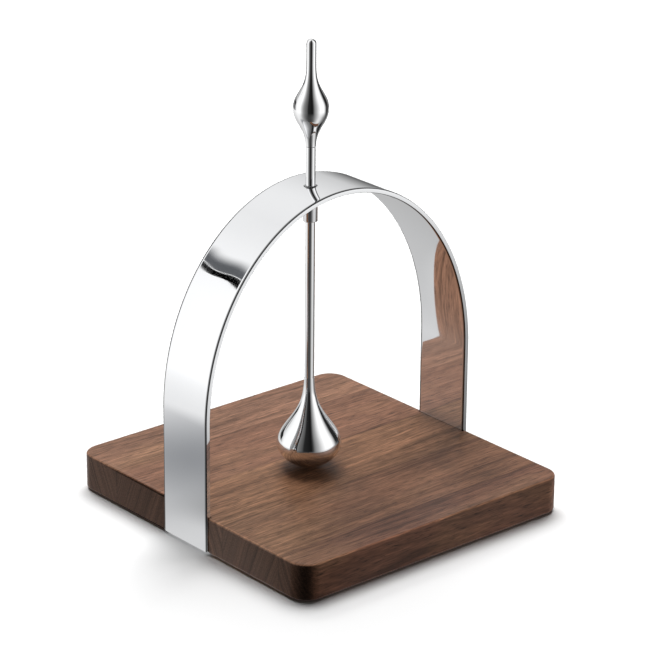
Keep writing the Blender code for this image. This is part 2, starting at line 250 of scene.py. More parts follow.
def lay_out(nodes: bpy.types.Nodes, groups: dict[str, list[bpy.types.Node]]) -> None:
    """Set nodes out in rows, each row in a frame with its title.

    Args:
        nodes: The nodes of the whole tree.
        groups: The nodes of each row, under the row's title.
    """
    for row, (title, members) in enumerate(groups.items()):
        frame_of_row = nodes.new("NodeFrame")
        frame_of_row.label = title
        for column, node in enumerate(members):
            node.parent = frame_of_row
            node.location = (NODE_COLUMN * column, -NODE_ROW * row)


def fill_ramp(ramp: bpy.types.ColorRamp, stops: Sequence[Point], low: float, high: float) -> None:
    """Set the stops of a grey ramp.

    Args:
        ramp: The ramp, as it comes with two stops.
        stops: Pairs of (place, brightness), in order of place.
        low: The place at the ramp's start.
        high: The place at its end.
    """
    ramp.interpolation = "LINEAR"
    while len(ramp.elements) > 1:
        ramp.elements.remove(ramp.elements[-1])
    for number, (place, glow) in enumerate(stops):
        share = (place - low) / (high - low)
        stop = ramp.elements[0] if number == 0 else ramp.elements.new(share)
        stop.position = share
        stop.color = (glow, glow, glow, 1.0)


# -------------------------------------------------------------------- finishes


@dataclass(frozen=True)
class Figure:
    """A soft patch on the board's top where the wood is darker or lighter.

    Its core is the share of its reach over which it stays at full strength.
    """

    title: str
    place: tuple[float, float, float]
    reach: tuple[float, float, float]
    core: float
    shade: float


@dataclass(frozen=True)
class WalnutFinish:
    """Oiled walnut, glued up from staves that each have their own grain and tone."""

    name: str = "oiled_walnut"
    half_width: float = 0.105
    stave_width: float = 0.050
    first_joint: float = -0.083
    stave_tones: tuple[tuple[float, Colour], ...] = (
        (-0.105, (0.110, 0.050, 0.031)),
        (-0.083, (0.158, 0.076, 0.044)),
        (-0.033, (0.205, 0.103, 0.057)),
        (0.017, (0.165, 0.080, 0.049)),
        (0.067, (0.172, 0.088, 0.055)),
    )
    golden: Colour = (0.265, 0.145, 0.080)
    end_tone: Colour = (0.088, 0.048, 0.032)
    lean: float = 0.45
    figures: tuple[Figure, ...] = (
        Figure("dark figure near a corner", (0.066, -0.076, 0.0233), (0.026, 0.0065, 0.012), 0.1, 0.62),
        Figure("light figure in the middle", (0.066, -0.012, 0.0233), (0.060, 0.024, 0.020), 0.2, 1.30),
        Figure("light figure at the front", (0.022, -0.060, 0.0233), (0.048, 0.024, 0.020), 0.1, 1.35),
    )

    def build(self) -> bpy.types.Material:
        """Write out the walnut material.

        Returns:
            The material.
        """
        material = empty_material(self.name)
        nodes = material.node_tree.nodes
        links = material.node_tree.links

        place = nodes.new("ShaderNodeTexCoord")
        place.label = "place in the board"
        place_split = nodes.new("ShaderNodeSeparateXYZ")
        place_split.label = "along, across and up"
        stave_count = nodes.new("ShaderNodeMath")
        stave_count.label = "staves from the first joint"
        stave_count.operation = "MULTIPLY_ADD"
        stave_count.inputs[1].default_value = 1.0 / self.stave_width
        stave_count.inputs[2].default_value = -self.first_joint / self.stave_width
        stave_number = nodes.new("ShaderNodeMath")
        stave_number.label = "which stave"
        stave_number.operation = "FLOOR"
        stave_turn = nodes.new("ShaderNodeMath")
        stave_turn.label = "every other stave is turned over"
        stave_turn.operation = "FLOORED_MODULO"
        stave_turn.inputs[1].default_value = 2.0
        stave_lean = nodes.new("ShaderNodeMapRange")
        stave_lean.label = "lean of the rings"
        stave_lean.inputs["To Min"].default_value = self.lean
        stave_lean.inputs["To Max"].default_value = -self.lean
        stave_chance = nodes.new("ShaderNodeTexWhiteNoise")
        stave_chance.label = "where the stave was cut"
        stave_chance.noise_dimensions = "1D"
        joint_gap = nodes.new("ShaderNodeMath")
        joint_gap.label = "distance from a glue joint"
        joint_gap.operation = "PINGPONG"
        joint_gap.inputs[1].default_value = 0.5
        joint_shade = nodes.new("ShaderNodeMapRange")
        joint_shade.label = "hairline along the joint"
        joint_shade.interpolation_type = "SMOOTHSTEP"
        joint_shade.inputs["From Min"].default_value = 0.002
        joint_shade.inputs["From Max"].default_value = 0.014
        joint_shade.inputs["To Min"].default_value = 0.70
        tone_share = nodes.new("ShaderNodeMapRange")
        tone_share.label = "share of the board's width"
        tone_share.inputs["From Min"].default_value = -self.half_width
        tone_share.inputs["From Max"].default_value = self.half_width
        tone = nodes.new("ShaderNodeValToRGB")
        tone.label = "tone of each stave"
        tone.color_ramp.interpolation = "CONSTANT"
        for number, (start, colour) in enumerate(self.stave_tones):
            share = (start + self.half_width) / (2 * self.half_width)
            stops = tone.color_ramp.elements
            stop = stops[number] if number < 2 else stops.new(share)
            stop.position = share
            stop.color = (*colour, 1.0)

        sway = nodes.new("ShaderNodeMapping")
        sway.label = "long slow sway of the grain"
        sway.inputs["Scale"].default_value = (5.0, 10.0, 10.0)
        sway_noise = nodes.new("ShaderNodeTexNoise")
        sway_noise.label = "sway"
        sway_noise.inputs["Scale"].default_value = 1.0
        sway_noise.inputs["Detail"].default_value = 3.0
        sway_noise.inputs["Roughness"].default_value = 0.5
        sway_centre = nodes.new("ShaderNodeVectorMath")
        sway_centre.label = "sway about zero"
        sway_centre.operation = "SUBTRACT"
        sway_centre.inputs[1].default_value = (0.5, 0.5, 0.5)
        sway_size = nodes.new("ShaderNodeVectorMath")
        sway_size.label = "sway in metres"
        sway_size.operation = "MULTIPLY"
        sway_size.inputs[1].default_value = (0.0, 0.016, 0.010)
        swayed = nodes.new("ShaderNodeVectorMath")
        swayed.label = "swayed place"
        swayed.operation = "ADD"
        swayed_split = nodes.new("ShaderNodeSeparateXYZ")
        swayed_split.label = "swayed along, across and up"
        ring_depth = nodes.new("ShaderNodeMath")
        ring_depth.label = "depth through the rings"
        ring_depth.operation = "MULTIPLY_ADD"
        grain_place = nodes.new("ShaderNodeCombineXYZ")
        grain_place.label = "along the grain and through the rings"
        stave_shift = nodes.new("ShaderNodeVectorMath")
        stave_shift.label = "each stave from its own place in the log"
        stave_shift.operation = "ADD"

        broad = nodes.new("ShaderNodeMapping")
        broad.label = "broad bands of tone"
        broad.inputs["Scale"].default_value = (4.0, 44.0, 1.0)
        broad_noise = nodes.new("ShaderNodeTexNoise")
        broad_noise.label = "broad bands"
        broad_noise.inputs["Scale"].default_value = 1.0
        broad_noise.inputs["Detail"].default_value = 2.0
        broad_shade = nodes.new("ShaderNodeMapRange")
        broad_shade.label = "strength of the bands"
        broad_shade.inputs["From Min"].default_value = 0.3
        broad_shade.inputs["From Max"].default_value = 0.7
        broad_shade.inputs["To Min"].default_value = 0.80
        broad_shade.inputs["To Max"].default_value = 1.20
        rings = nodes.new("ShaderNodeMapping")
        rings.label = "growth rings"
        rings.inputs["Scale"].default_value = (8.0, 210.0, 1.0)
        rings.inputs["Location"].default_value = (3.1, 0.7, 5.0)
        ring_noise = nodes.new("ShaderNodeTexNoise")
        ring_noise.label = "rings"
        ring_noise.inputs["Scale"].default_value = 1.0
        ring_noise.inputs["Detail"].default_value = 3.0
        ring_noise.inputs["Roughness"].default_value = 0.6
        ring_shade = nodes.new("ShaderNodeMapRange")
        ring_shade.label = "dark late wood"
        ring_shade.interpolation_type = "SMOOTHSTEP"
        ring_shade.inputs["From Min"].default_value = 0.50
        ring_shade.inputs["From Max"].default_value = 0.68
        ring_shade.inputs["To Min"].default_value = 1.0
        ring_shade.inputs["To Max"].default_value = 0.58
        streak = nodes.new("ShaderNodeMapping")
        streak.label = "fine streaks"
        streak.inputs["Scale"].default_value = (24.0, 760.0, 1.0)
        streak_noise = nodes.new("ShaderNodeTexNoise")
        streak_noise.label = "streaks"
        streak_noise.inputs["Scale"].default_value = 1.0
        streak_noise.inputs["Detail"].default_value = 2.0
        streak_shade = nodes.new("ShaderNodeMapRange")
        streak_shade.label = "strength of the streaks"
        streak_shade.inputs["From Min"].default_value = 0.3
        streak_shade.inputs["From Max"].default_value = 0.7
        streak_shade.inputs["To Min"].default_value = 0.70
        streak_shade.inputs["To Max"].default_value = 1.30

        fibre = nodes.new("ShaderNodeMapping")
        fibre.label = "fibres along the board"
        fibre.inputs["Scale"].default_value = (110.0, 1250.0, 1100.0)
        fibre_noise = nodes.new("ShaderNodeTexNoise")
        fibre_noise.label = "fibres"
        fibre_noise.inputs["Scale"].default_value = 1.0
        fibre_noise.inputs["Detail"].default_value = 2.0
        fibre_shade = nodes.new("ShaderNodeMapRange")
        fibre_shade.label = "strength of the fibres"
        fibre_shade.inputs["From Min"].default_value = 0.3
        fibre_shade.inputs["From Max"].default_value = 0.7
        fibre_shade.inputs["To Min"].default_value = 0.68
        fibre_shade.inputs["To Max"].default_value = 1.32
        pore = nodes.new("ShaderNodeMapping")
        pore.label = "open pores, long and thin"
        pore.inputs["Scale"].default_value = (140.0, 1900.0, 1900.0)
        pore_noise = nodes.new("ShaderNodeTexNoise")
        pore_noise.label = "pores"
        pore_noise.inputs["Scale"].default_value = 1.0
        pore_noise.inputs["Detail"].default_value = 1.0
        pore_mask = nodes.new("ShaderNodeMapRange")
        pore_mask.label = "only the deepest pores"
        pore_mask.inputs["From Min"].default_value = 0.58
        pore_mask.inputs["From Max"].default_value = 0.72
        pore_shade = nodes.new("ShaderNodeMapRange")
        pore_shade.label = "pores are dark"
        pore_shade.inputs["To Min"].default_value = 1.0
        pore_shade.inputs["To Max"].default_value = 0.35

        cloud = nodes.new("ShaderNodeMapping")
        cloud.label = "clouds of colour"
        cloud.inputs["Scale"].default_value = (9.0, 24.0, 24.0)
        cloud.inputs["Location"].default_value = (4.0, 1.5, 0.0)
        cloud_noise = nodes.new("ShaderNodeTexNoise")
        cloud_noise.label = "clouds"
        cloud_noise.inputs["Scale"].default_value = 1.0
        cloud_noise.inputs["Detail"].default_value = 2.0
        cloud_share = nodes.new("ShaderNodeMapRange")
        cloud_share.label = "how far a cloud shows"
        cloud_share.interpolation_type = "SMOOTHSTEP"
        cloud_share.inputs["From Min"].default_value = 0.42
        cloud_share.inputs["From Max"].default_value = 0.72
        cloud_share.inputs["To Max"].default_value = 0.55
        warmed = nodes.new("ShaderNodeMix")
        warmed.label = "golden clouds in the stave"
        warmed.data_type = "RGBA"
        warmed.inputs["B"].default_value = (*self.golden, 1.0)
        figured = []
        for figure in self.figures:
            patch = nodes.new("ShaderNodeMapping")
            patch.label = figure.title
            patch.vector_type = "TEXTURE"
            patch.inputs["Location"].default_value = figure.place
            patch.inputs["Scale"].default_value = figure.reach
            patch_reach = nodes.new("ShaderNodeVectorMath")
            patch_reach.label = "distance from the figure"
            patch_reach.operation = "LENGTH"
            patch_shade = nodes.new("ShaderNodeMapRange")
            patch_shade.label = "how dark or light the figure is"
            patch_shade.interpolation_type = "SMOOTHSTEP"
            patch_shade.inputs["From Min"].default_value = figure.core
            patch_shade.inputs["To Min"].default_value = figure.shade
            links.new(place.outputs["Object"], patch.inputs["Vector"])
            links.new(patch.outputs["Vector"], patch_reach.inputs[0])
            links.new(patch_reach.outputs["Value"], patch_shade.inputs["Value"])
            figured.append((patch, patch_reach, patch_shade))

        facing = nodes.new("ShaderNodeNewGeometry")
        facing.label = "way the surface faces"
        facing_split = nodes.new("ShaderNodeSeparateXYZ")
        facing_split.label = "facing along the grain and up"
        end_amount = nodes.new("ShaderNodeMath")
        end_amount.label = "either end"
        end_amount.operation = "ABSOLUTE"
        end_share = nodes.new("ShaderNodeMapRange")
        end_share.label = "end grain drinks more oil"
        end_share.interpolation_type = "SMOOTHSTEP"
        end_share.inputs["From Min"].default_value = 0.3
        end_share.inputs["From Max"].default_value = 0.9
        end_share.inputs["To Max"].default_value = 0.9
        ended = nodes.new("ShaderNodeMix")
        ended.label = "end grain over the tone"
        ended.data_type = "RGBA"
        ended.inputs["B"].default_value = (*self.end_tone, 1.0)
        up_square = nodes.new("ShaderNodeMath")
        up_square.label = "how far it faces up, squared"
        up_square.operation = "MULTIPLY"
        arris_amount = nodes.new("ShaderNodeMath")
        arris_amount.label = "on a rounded edge"
        arris_amount.operation = "PINGPONG"
        arris_amount.inputs[1].default_value = 0.5
        # Painted highlight: the rounded top and bottom edges are made up to 1.75 times lighter in colour,
        # standing in for the light that they catch.
        painted_arris_highlight = nodes.new("ShaderNodeMapRange")
        painted_arris_highlight.label = "painted highlight on the rounded edges"
        painted_arris_highlight.inputs["From Min"].default_value = 0.05
        painted_arris_highlight.inputs["From Max"].default_value = 0.5
        painted_arris_highlight.inputs["To Min"].default_value = 1.0
        painted_arris_highlight.inputs["To Max"].default_value = 1.75

        shading = []
        shaded = broad_shade.outputs["Result"]
        for label, part in (
            ("bands and rings", ring_shade),
            ("with streaks", streak_shade),
            ("with fibres", fibre_shade),
            ("with pores", pore_shade),
            ("with glue joints", joint_shade),
            # the painted highlight on the rounded edges
            ("with the painted edge highlight", painted_arris_highlight),
            *(("with " + patch.label, patch_shade) for patch, _reach, patch_shade in figured),
        ):
            product = nodes.new("ShaderNodeMath")
            product.label = label
            product.operation = "MULTIPLY"
            links.new(shaded, product.inputs[0])
            links.new(part.outputs["Result"], product.inputs[1])
            shaded = product.outputs[0]
            shading.append(product)
        coloured = nodes.new("ShaderNodeVectorMath")
        coloured.label = "walnut colour"
        coloured.operation = "SCALE"

        gloss = nodes.new("ShaderNodeMapRange")
        gloss.label = "oil sits unevenly"
        gloss.inputs["To Min"].default_value = 0.30
        gloss.inputs["To Max"].default_value = 0.46
        relief = nodes.new("ShaderNodeMath")
        relief.label = "pores below the surface"
        relief.operation = "SUBTRACT"
        bump = nodes.new("ShaderNodeBump")
        bump.label = "grain to the touch"
        bump.inputs["Strength"].default_value = 0.35
        bump.inputs["Distance"].default_value = 0.00008

        shader = nodes.new("ShaderNodeBsdfPrincipled")
        shader.label = "oiled wood"
        shader.inputs["IOR"].default_value = 1.46
        shader.inputs["Specular IOR Level"].default_value = 0.18
        output = nodes.new("ShaderNodeOutputMaterial")
        output.label = "walnut"

        links.new(place.outputs["Object"], place_split.inputs[0])
        links.new(place_split.outputs["Y"], stave_count.inputs[0])
        links.new(stave_count.outputs[0], stave_number.inputs[0])
        links.new(stave_number.outputs[0], stave_turn.inputs[0])
        links.new(stave_turn.outputs[0], stave_lean.inputs["Value"])
        links.new(stave_number.outputs[0], stave_chance.inputs["W"])
        links.new(stave_count.outputs[0], joint_gap.inputs[0])
        links.new(joint_gap.outputs[0], joint_shade.inputs["Value"])
        links.new(place_split.outputs["Y"], tone_share.inputs["Value"])
        links.new(tone_share.outputs["Result"], tone.inputs["Fac"])
        links.new(place.outputs["Object"], sway.inputs["Vector"])
        links.new(sway.outputs["Vector"], sway_noise.inputs["Vector"])
        links.new(sway_noise.outputs["Color"], sway_centre.inputs[0])
        links.new(sway_centre.outputs[0], sway_size.inputs[0])
        links.new(place.outputs["Object"], swayed.inputs[0])
        links.new(sway_size.outputs[0], swayed.inputs[1])
        links.new(swayed.outputs[0], swayed_split.inputs[0])
        links.new(swayed_split.outputs["Z"], ring_depth.inputs[0])
        links.new(stave_lean.outputs["Result"], ring_depth.inputs[1])
        links.new(swayed_split.outputs["Y"], ring_depth.inputs[2])
        links.new(swayed_split.outputs["X"], grain_place.inputs["X"])
        links.new(ring_depth.outputs[0], grain_place.inputs["Y"])
        links.new(stave_number.outputs[0], grain_place.inputs["Z"])
        links.new(grain_place.outputs[0], stave_shift.inputs[0])
        links.new(stave_chance.outputs["Color"], stave_shift.inputs[1])
        links.new(stave_shift.outputs[0], broad.inputs["Vector"])
        links.new(broad.outputs["Vector"], broad_noise.inputs["Vector"])
        links.new(broad_noise.outputs["Fac"], broad_shade.inputs["Value"])
        links.new(stave_shift.outputs[0], rings.inputs["Vector"])
        links.new(rings.outputs["Vector"], ring_noise.inputs["Vector"])
        links.new(ring_noise.outputs["Fac"], ring_shade.inputs["Value"])
        links.new(stave_shift.outputs[0], streak.inputs["Vector"])
        links.new(streak.outputs["Vector"], streak_noise.inputs["Vector"])
        links.new(streak_noise.outputs["Fac"], streak_shade.inputs["Value"])
        links.new(place.outputs["Object"], fibre.inputs["Vector"])
        links.new(fibre.outputs["Vector"], fibre_noise.inputs["Vector"])
        links.new(fibre_noise.outputs["Fac"], fibre_shade.inputs["Value"])
        links.new(place.outputs["Object"], pore.inputs["Vector"])
        links.new(pore.outputs["Vector"], pore_noise.inputs["Vector"])
        links.new(pore_noise.outputs["Fac"], pore_mask.inputs["Value"])
        links.new(pore_mask.outputs["Result"], pore_shade.inputs["Value"])
        links.new(place.outputs["Object"], cloud.inputs["Vector"])
        links.new(cloud.outputs["Vector"], cloud_noise.inputs["Vector"])
        links.new(cloud_noise.outputs["Fac"], cloud_share.inputs["Value"])
        links.new(cloud_share.outputs["Result"], warmed.inputs["Factor"])
        links.new(tone.outputs["Color"], warmed.inputs["A"])
        links.new(facing.outputs["True Normal"], facing_split.inputs[0])
        links.new(facing_split.outputs["X"], end_amount.inputs[0])
        links.new(end_amount.outputs[0], end_share.inputs["Value"])
        links.new(end_share.outputs["Result"], ended.inputs["Factor"])
        links.new(warmed.outputs["Result"], ended.inputs["A"])
        links.new(facing_split.outputs["Z"], up_square.inputs[0])
        links.new(facing_split.outputs["Z"], up_square.inputs[1])
        links.new(up_square.outputs[0], arris_amount.inputs[0])
        links.new(arris_amount.outputs[0], painted_arris_highlight.inputs["Value"])
        links.new(ended.outputs["Result"], coloured.inputs[0])
        links.new(shaded, coloured.inputs["Scale"])
        links.new(coloured.outputs[0], shader.inputs["Base Color"])
        links.new(ring_noise.outputs["Fac"], gloss.inputs["Value"])
        links.new(gloss.outputs["Result"], shader.inputs["Roughness"])
        links.new(fibre_noise.outputs["Fac"], relief.inputs[0])
        links.new(pore_mask.outputs["Result"], relief.inputs[1])
        links.new(relief.outputs[0], bump.inputs["Height"])
        links.new(bump.outputs["Normal"], shader.inputs["Normal"])
        links.new(shader.outputs["BSDF"], output.inputs["Surface"])

        groups = {
            "Staves": [
                place, place_split, stave_count, stave_number, stave_turn, stave_lean,
                stave_chance, joint_gap, joint_shade, tone_share, tone,
            ],
            "Sway of the grain": [
                sway, sway_noise, sway_centre, sway_size, swayed, swayed_split,
                ring_depth, grain_place, stave_shift,
            ],
            "Bands, rings and streaks": [
                broad, broad_noise, broad_shade, rings, ring_noise, ring_shade,
                streak, streak_noise, streak_shade,
            ],
            "Fibres and pores": [fibre, fibre_noise, fibre_shade, pore, pore_noise, pore_mask, pore_shade],
            "Clouds and figure": [
                cloud, cloud_noise, cloud_share, warmed, *(node for row in figured for node in row),
            ],
            "Ends and edges": [
                facing, facing_split, end_amount, end_share, ended, up_square, arris_amount, painted_arris_highlight,
            ],
            "Shading": [*shading, coloured],
            "Surface": [gloss, relief, bump, shader, output],
        }
        lay_out(nodes, groups)
        return material


@dataclass(frozen=True)
class MetalFinish:
    """A metal surface: polished, turned, brushed or plated."""

    name: str
    colour: Colour
    tint: Colour
    polish: float
    haze: float
    lay: Lay
    lay_depth: float
    wave_scale: float
    wave_depth: float
    worn_edge: float = 0.0
    # How far the colour is darkened on rolled edges, a painted dark reflection; 1.0 paints none.
    painted_edge_darkness: float = 1.0

    def build(self) -> bpy.types.Material:
        """Write out the metal material.

        Returns:
            The material.
        """
        material = empty_material(self.name)
        nodes = material.node_tree.nodes
        links = material.node_tree.links

        place = nodes.new("ShaderNodeTexCoord")
        place.label = "place on the metal"
        wave = nodes.new("ShaderNodeTexNoise")
        wave.label = "slow waves left by the forming"
        wave.inputs["Scale"].default_value = self.wave_scale
        wave.inputs["Detail"].default_value = 1.0
        wave_bump = nodes.new("ShaderNodeBump")
        wave_bump.label = "waves in the reflection"
        wave_bump.inputs["Strength"].default_value = 1.0
        wave_bump.inputs["Distance"].default_value = self.wave_depth

        lines = nodes.new("ShaderNodeMapping")
        lines.label = "way the polishing lines run"
        lines.inputs["Scale"].default_value = self.lay.value
        line_noise = nodes.new("ShaderNodeTexNoise")
        line_noise.label = "polishing lines"
        line_noise.inputs["Scale"].default_value = 6.0
        line_noise.inputs["Detail"].default_value = 3.0
        line_noise.inputs["Roughness"].default_value = 0.6
        line_bump = nodes.new("ShaderNodeBump")
        line_bump.label = "depth of the lines"
        line_bump.inputs["Strength"].default_value = 1.0
        line_bump.inputs["Distance"].default_value = self.lay_depth

        smear = nodes.new("ShaderNodeTexNoise")
        smear.label = "faint handling marks"
        smear.inputs["Scale"].default_value = 34.0
        smear.inputs["Detail"].default_value = 4.0
        smear.inputs["Roughness"].default_value = 0.65
        smear_range = nodes.new("ShaderNodeMapRange")
        smear_range.label = "where the marks sit"
        smear_range.interpolation_type = "SMOOTHSTEP"
        smear_range.inputs["From Min"].default_value = 0.42
        smear_range.inputs["From Max"].default_value = 0.72
        smear_range.inputs["To Max"].default_value = self.haze
        line_haze = nodes.new("ShaderNodeMath")
        line_haze.label = "lines scatter a little"
        line_haze.operation = "MULTIPLY"
        line_haze.inputs[1].default_value = self.haze * 0.5
        haze_sum = nodes.new("ShaderNodeMath")
        haze_sum.label = "marks and lines"
        haze_sum.operation = "ADD"
        rough = nodes.new("ShaderNodeMath")
        rough.label = "how sharp it reflects"
        rough.operation = "ADD"
        rough.use_clamp = True
        rough.inputs[1].default_value = self.polish

        edge = nodes.new("ShaderNodeNewGeometry")
        edge.label = "edges of the piece"
        edge_range = nodes.new("ShaderNodeMapRange")
        edge_range.label = "wear along the edges"
        edge_range.inputs["From Min"].default_value = 0.53
        edge_range.inputs["From Max"].default_value = 0.60
        edge_range.inputs["To Max"].default_value = self.worn_edge
        colour = nodes.new("ShaderNodeMix")
        colour.label = "colour under the marks"
        colour.data_type = "RGBA"
        colour.inputs["A"].default_value = (*self.colour, 1.0)
        colour.inputs["B"].default_value = (*self.tint, 1.0)
        edge_split = nodes.new("ShaderNodeSeparateXYZ")
        edge_split.label = "facing across the strip"
        edge_side = nodes.new("ShaderNodeMath")
        edge_side.label = "to either side"
        edge_side.operation = "ABSOLUTE"
        # Painted dark reflection: where the surface turns across the strip, on its rolled edges, the base
        # colour is darkened, on top of the real reflections there.
        painted_edge_band = nodes.new("ShaderNodeValToRGB")
        painted_edge_band.label = "painted dark reflection on the rolled edges"
        rolled = ((0.0, 1.0), (0.05, 1.0), (0.20, self.painted_edge_darkness), (0.88, self.painted_edge_darkness), (0.97, 1.0))
        fill_ramp(painted_edge_band.color_ramp, rolled, 0.0, 1.0)
        toned = nodes.new("ShaderNodeVectorMath")
        toned.label = "colour with the painted dark edges"
        toned.operation = "MULTIPLY"
        rough_worn = nodes.new("ShaderNodeMath")
        rough_worn.label = "worn edges are duller"
        rough_worn.operation = "ADD"
        rough_worn.use_clamp = True

        shader = nodes.new("ShaderNodeBsdfPrincipled")
        shader.label = "metal"
        shader.inputs["Metallic"].default_value = 1.0
        output = nodes.new("ShaderNodeOutputMaterial")
        output.label = "metal surface"

        links.new(place.outputs["Object"], wave.inputs["Vector"])
        links.new(wave.outputs["Fac"], wave_bump.inputs["Height"])
        links.new(place.outputs["Object"], lines.inputs["Vector"])
        links.new(lines.outputs["Vector"], line_noise.inputs["Vector"])
        links.new(line_noise.outputs["Fac"], line_bump.inputs["Height"])
        links.new(wave_bump.outputs["Normal"], line_bump.inputs["Normal"])
        links.new(line_bump.outputs["Normal"], shader.inputs["Normal"])
        links.new(place.outputs["Object"], smear.inputs["Vector"])
        links.new(smear.outputs["Fac"], smear_range.inputs["Value"])
        links.new(line_noise.outputs["Fac"], line_haze.inputs[0])
        links.new(smear_range.outputs["Result"], haze_sum.inputs[0])
        links.new(line_haze.outputs[0], haze_sum.inputs[1])
        links.new(haze_sum.outputs[0], rough.inputs[0])
        links.new(edge.outputs["Pointiness"], edge_range.inputs["Value"])
        links.new(rough.outputs[0], rough_worn.inputs[0])
        links.new(edge_range.outputs["Result"], rough_worn.inputs[1])
        links.new(rough_worn.outputs[0], shader.inputs["Roughness"])
        links.new(smear.outputs["Fac"], colour.inputs["Factor"])
        links.new(edge.outputs["Normal"], edge_split.inputs[0])
        links.new(edge_split.outputs["Y"], edge_side.inputs[0])
        links.new(edge_side.outputs[0], painted_edge_band.inputs["Fac"])
        links.new(colour.outputs["Result"], toned.inputs[0])
        links.new(painted_edge_band.outputs["Color"], toned.inputs[1])
        links.new(toned.outputs[0], shader.inputs["Base Color"])
        links.new(shader.outputs["BSDF"], output.inputs["Surface"])

        groups = {
            "Waves": [place, wave, wave_bump],
            "Polishing lines": [lines, line_noise, line_bump, line_haze],
            "Handling marks": [smear, smear_range, haze_sum, rough, colour],
            "Edges": [edge, edge_range, rough_worn, edge_split, edge_side, painted_edge_band, toned],
            "Metal": [shader, output],
        }
        lay_out(nodes, groups)
        return material


@dataclass(frozen=True)
class MouldedFinish:
    """A moulded polymer or rubber surface."""

    name: str
    colour: Colour
    dust: Colour
    rough: float
    grain_scale: float
    grain_depth: float

    def build(self) -> bpy.types.Material:
        """Write out the moulded material.

        Returns:
            The material.
        """
        material = empty_material(self.name)
        nodes = material.node_tree.nodes
        links = material.node_tree.links

        place = nodes.new("ShaderNodeTexCoord")
        place.label = "place on the moulding"
        grain = nodes.new("ShaderNodeTexNoise")
        grain.label = "grain of the mould"
        grain.inputs["Scale"].default_value = self.grain_scale
        grain.inputs["Detail"].default_value = 3.0
        grain_bump = nodes.new("ShaderNodeBump")
        grain_bump.label = "depth of the grain"
        grain_bump.inputs["Distance"].default_value = self.grain_depth
        dust = nodes.new("ShaderNodeTexNoise")
        dust.label = "dust and rubbing"
        dust.inputs["Scale"].default_value = 180.0
        dust.inputs["Detail"].default_value = 4.0
        dust_range = nodes.new("ShaderNodeMapRange")
        dust_range.label = "where dust has settled"
        dust_range.interpolation_type = "SMOOTHSTEP"
        dust_range.inputs["From Min"].default_value = 0.45
        dust_range.inputs["From Max"].default_value = 0.80
        colour = nodes.new("ShaderNodeMix")
        colour.label = "dusted colour"
        colour.data_type = "RGBA"
        colour.inputs["A"].default_value = (*self.colour, 1.0)
        colour.inputs["B"].default_value = (*self.dust, 1.0)
        rough = nodes.new("ShaderNodeMapRange")
        rough.label = "uneven sheen"
        rough.inputs["To Min"].default_value = self.rough - 0.08
        rough.inputs["To Max"].default_value = self.rough + 0.08
        shader = nodes.new("ShaderNodeBsdfPrincipled")
        shader.label = "moulding"
        output = nodes.new("ShaderNodeOutputMaterial")
        output.label = "moulded surface"

        links.new(place.outputs["Object"], grain.inputs["Vector"])
        links.new(grain.outputs["Fac"], grain_bump.inputs["Height"])
        links.new(grain_bump.outputs["Normal"], shader.inputs["Normal"])
        links.new(place.outputs["Object"], dust.inputs["Vector"])
        links.new(dust.outputs["Fac"], dust_range.inputs["Value"])
        links.new(dust_range.outputs["Result"], colour.inputs["Factor"])
        links.new(colour.outputs["Result"], shader.inputs["Base Color"])
        links.new(grain.outputs["Fac"], rough.inputs["Value"])
        links.new(rough.outputs["Result"], shader.inputs["Roughness"])
        links.new(shader.outputs["BSDF"], output.inputs["Surface"])

        groups = {
            "Grain": [place, grain, grain_bump, rough],
            "Dust": [dust, dust_range, colour],
            "Moulding": [shader, output],
        }
        lay_out(nodes, groups)
        return material


WALNUT = WalnutFinish()
STRIP_STEEL = MetalFinish(
    name="polished_strip_steel",
    colour=(0.93, 0.935, 0.945),
    tint=(0.89, 0.90, 0.915),
    polish=0.025,
    haze=0.02,
    lay=Lay.ALONG_STRIP,
    lay_depth=0.0000004,
    wave_scale=22.0,
    wave_depth=0.00002,
    worn_edge=0.06,
    # painted dark reflection along the strip's rolled edges
    painted_edge_darkness=0.10,
)
TURNED_STEEL = MetalFinish(
    name="polished_turned_steel",
    colour=(0.93, 0.93, 0.935),
    tint=(0.88, 0.885, 0.89),
    polish=0.03,
    haze=0.02,
    lay=Lay.ROUND_AXIS,
    lay_depth=0.0000003,
    wave_scale=30.0,
    wave_depth=0.0,
)
BUSH_STEEL = MetalFinish(
    name="turned_bush_steel",
    colour=(0.80, 0.80, 0.81),
    tint=(0.70, 0.70, 0.71),
    polish=0.08,
    haze=0.06,
    lay=Lay.ROUND_AXIS,
    lay_depth=0.000002,
    wave_scale=60.0,
    wave_depth=0.0,
    worn_edge=0.05,
)
ZINC_STEEL = MetalFinish(
    name="zinc_plated_steel",
    colour=(0.60, 0.61, 0.62),
    tint=(0.46, 0.48, 0.50),
    polish=0.24,
    haze=0.18,
    lay=Lay.TUMBLED,
    lay_depth=0.000006,
    wave_scale=120.0,
    wave_depth=0.0,
    worn_edge=0.1,
)
INSERT_BRASS = MetalFinish(
    name="machined_brass",
    colour=(0.78, 0.57, 0.27),
    tint=(0.62, 0.42, 0.18),
    polish=0.22,
    haze=0.15,
    lay=Lay.ROUND_AXIS,
    lay_depth=0.000008,
    wave_scale=120.0,
    wave_depth=0.0,
    worn_edge=0.1,
)
LINER_POLYMER = MouldedFinish(
    name="liner_polymer_grey",
    colour=(0.36, 0.36, 0.37),
    dust=(0.42, 0.42, 0.42),
    rough=0.42,
    grain_scale=2400.0,
    grain_depth=0.00001,
)
PAD_RUBBER = MouldedFinish(
    name="pad_rubber_black",
    colour=(0.015, 0.015, 0.015),
    dust=(0.045, 0.043, 0.040),
    rough=0.78,
    grain_scale=1600.0,
    grain_depth=0.00004,
)


# ---------------------------------------------------------------- sub-assemblies


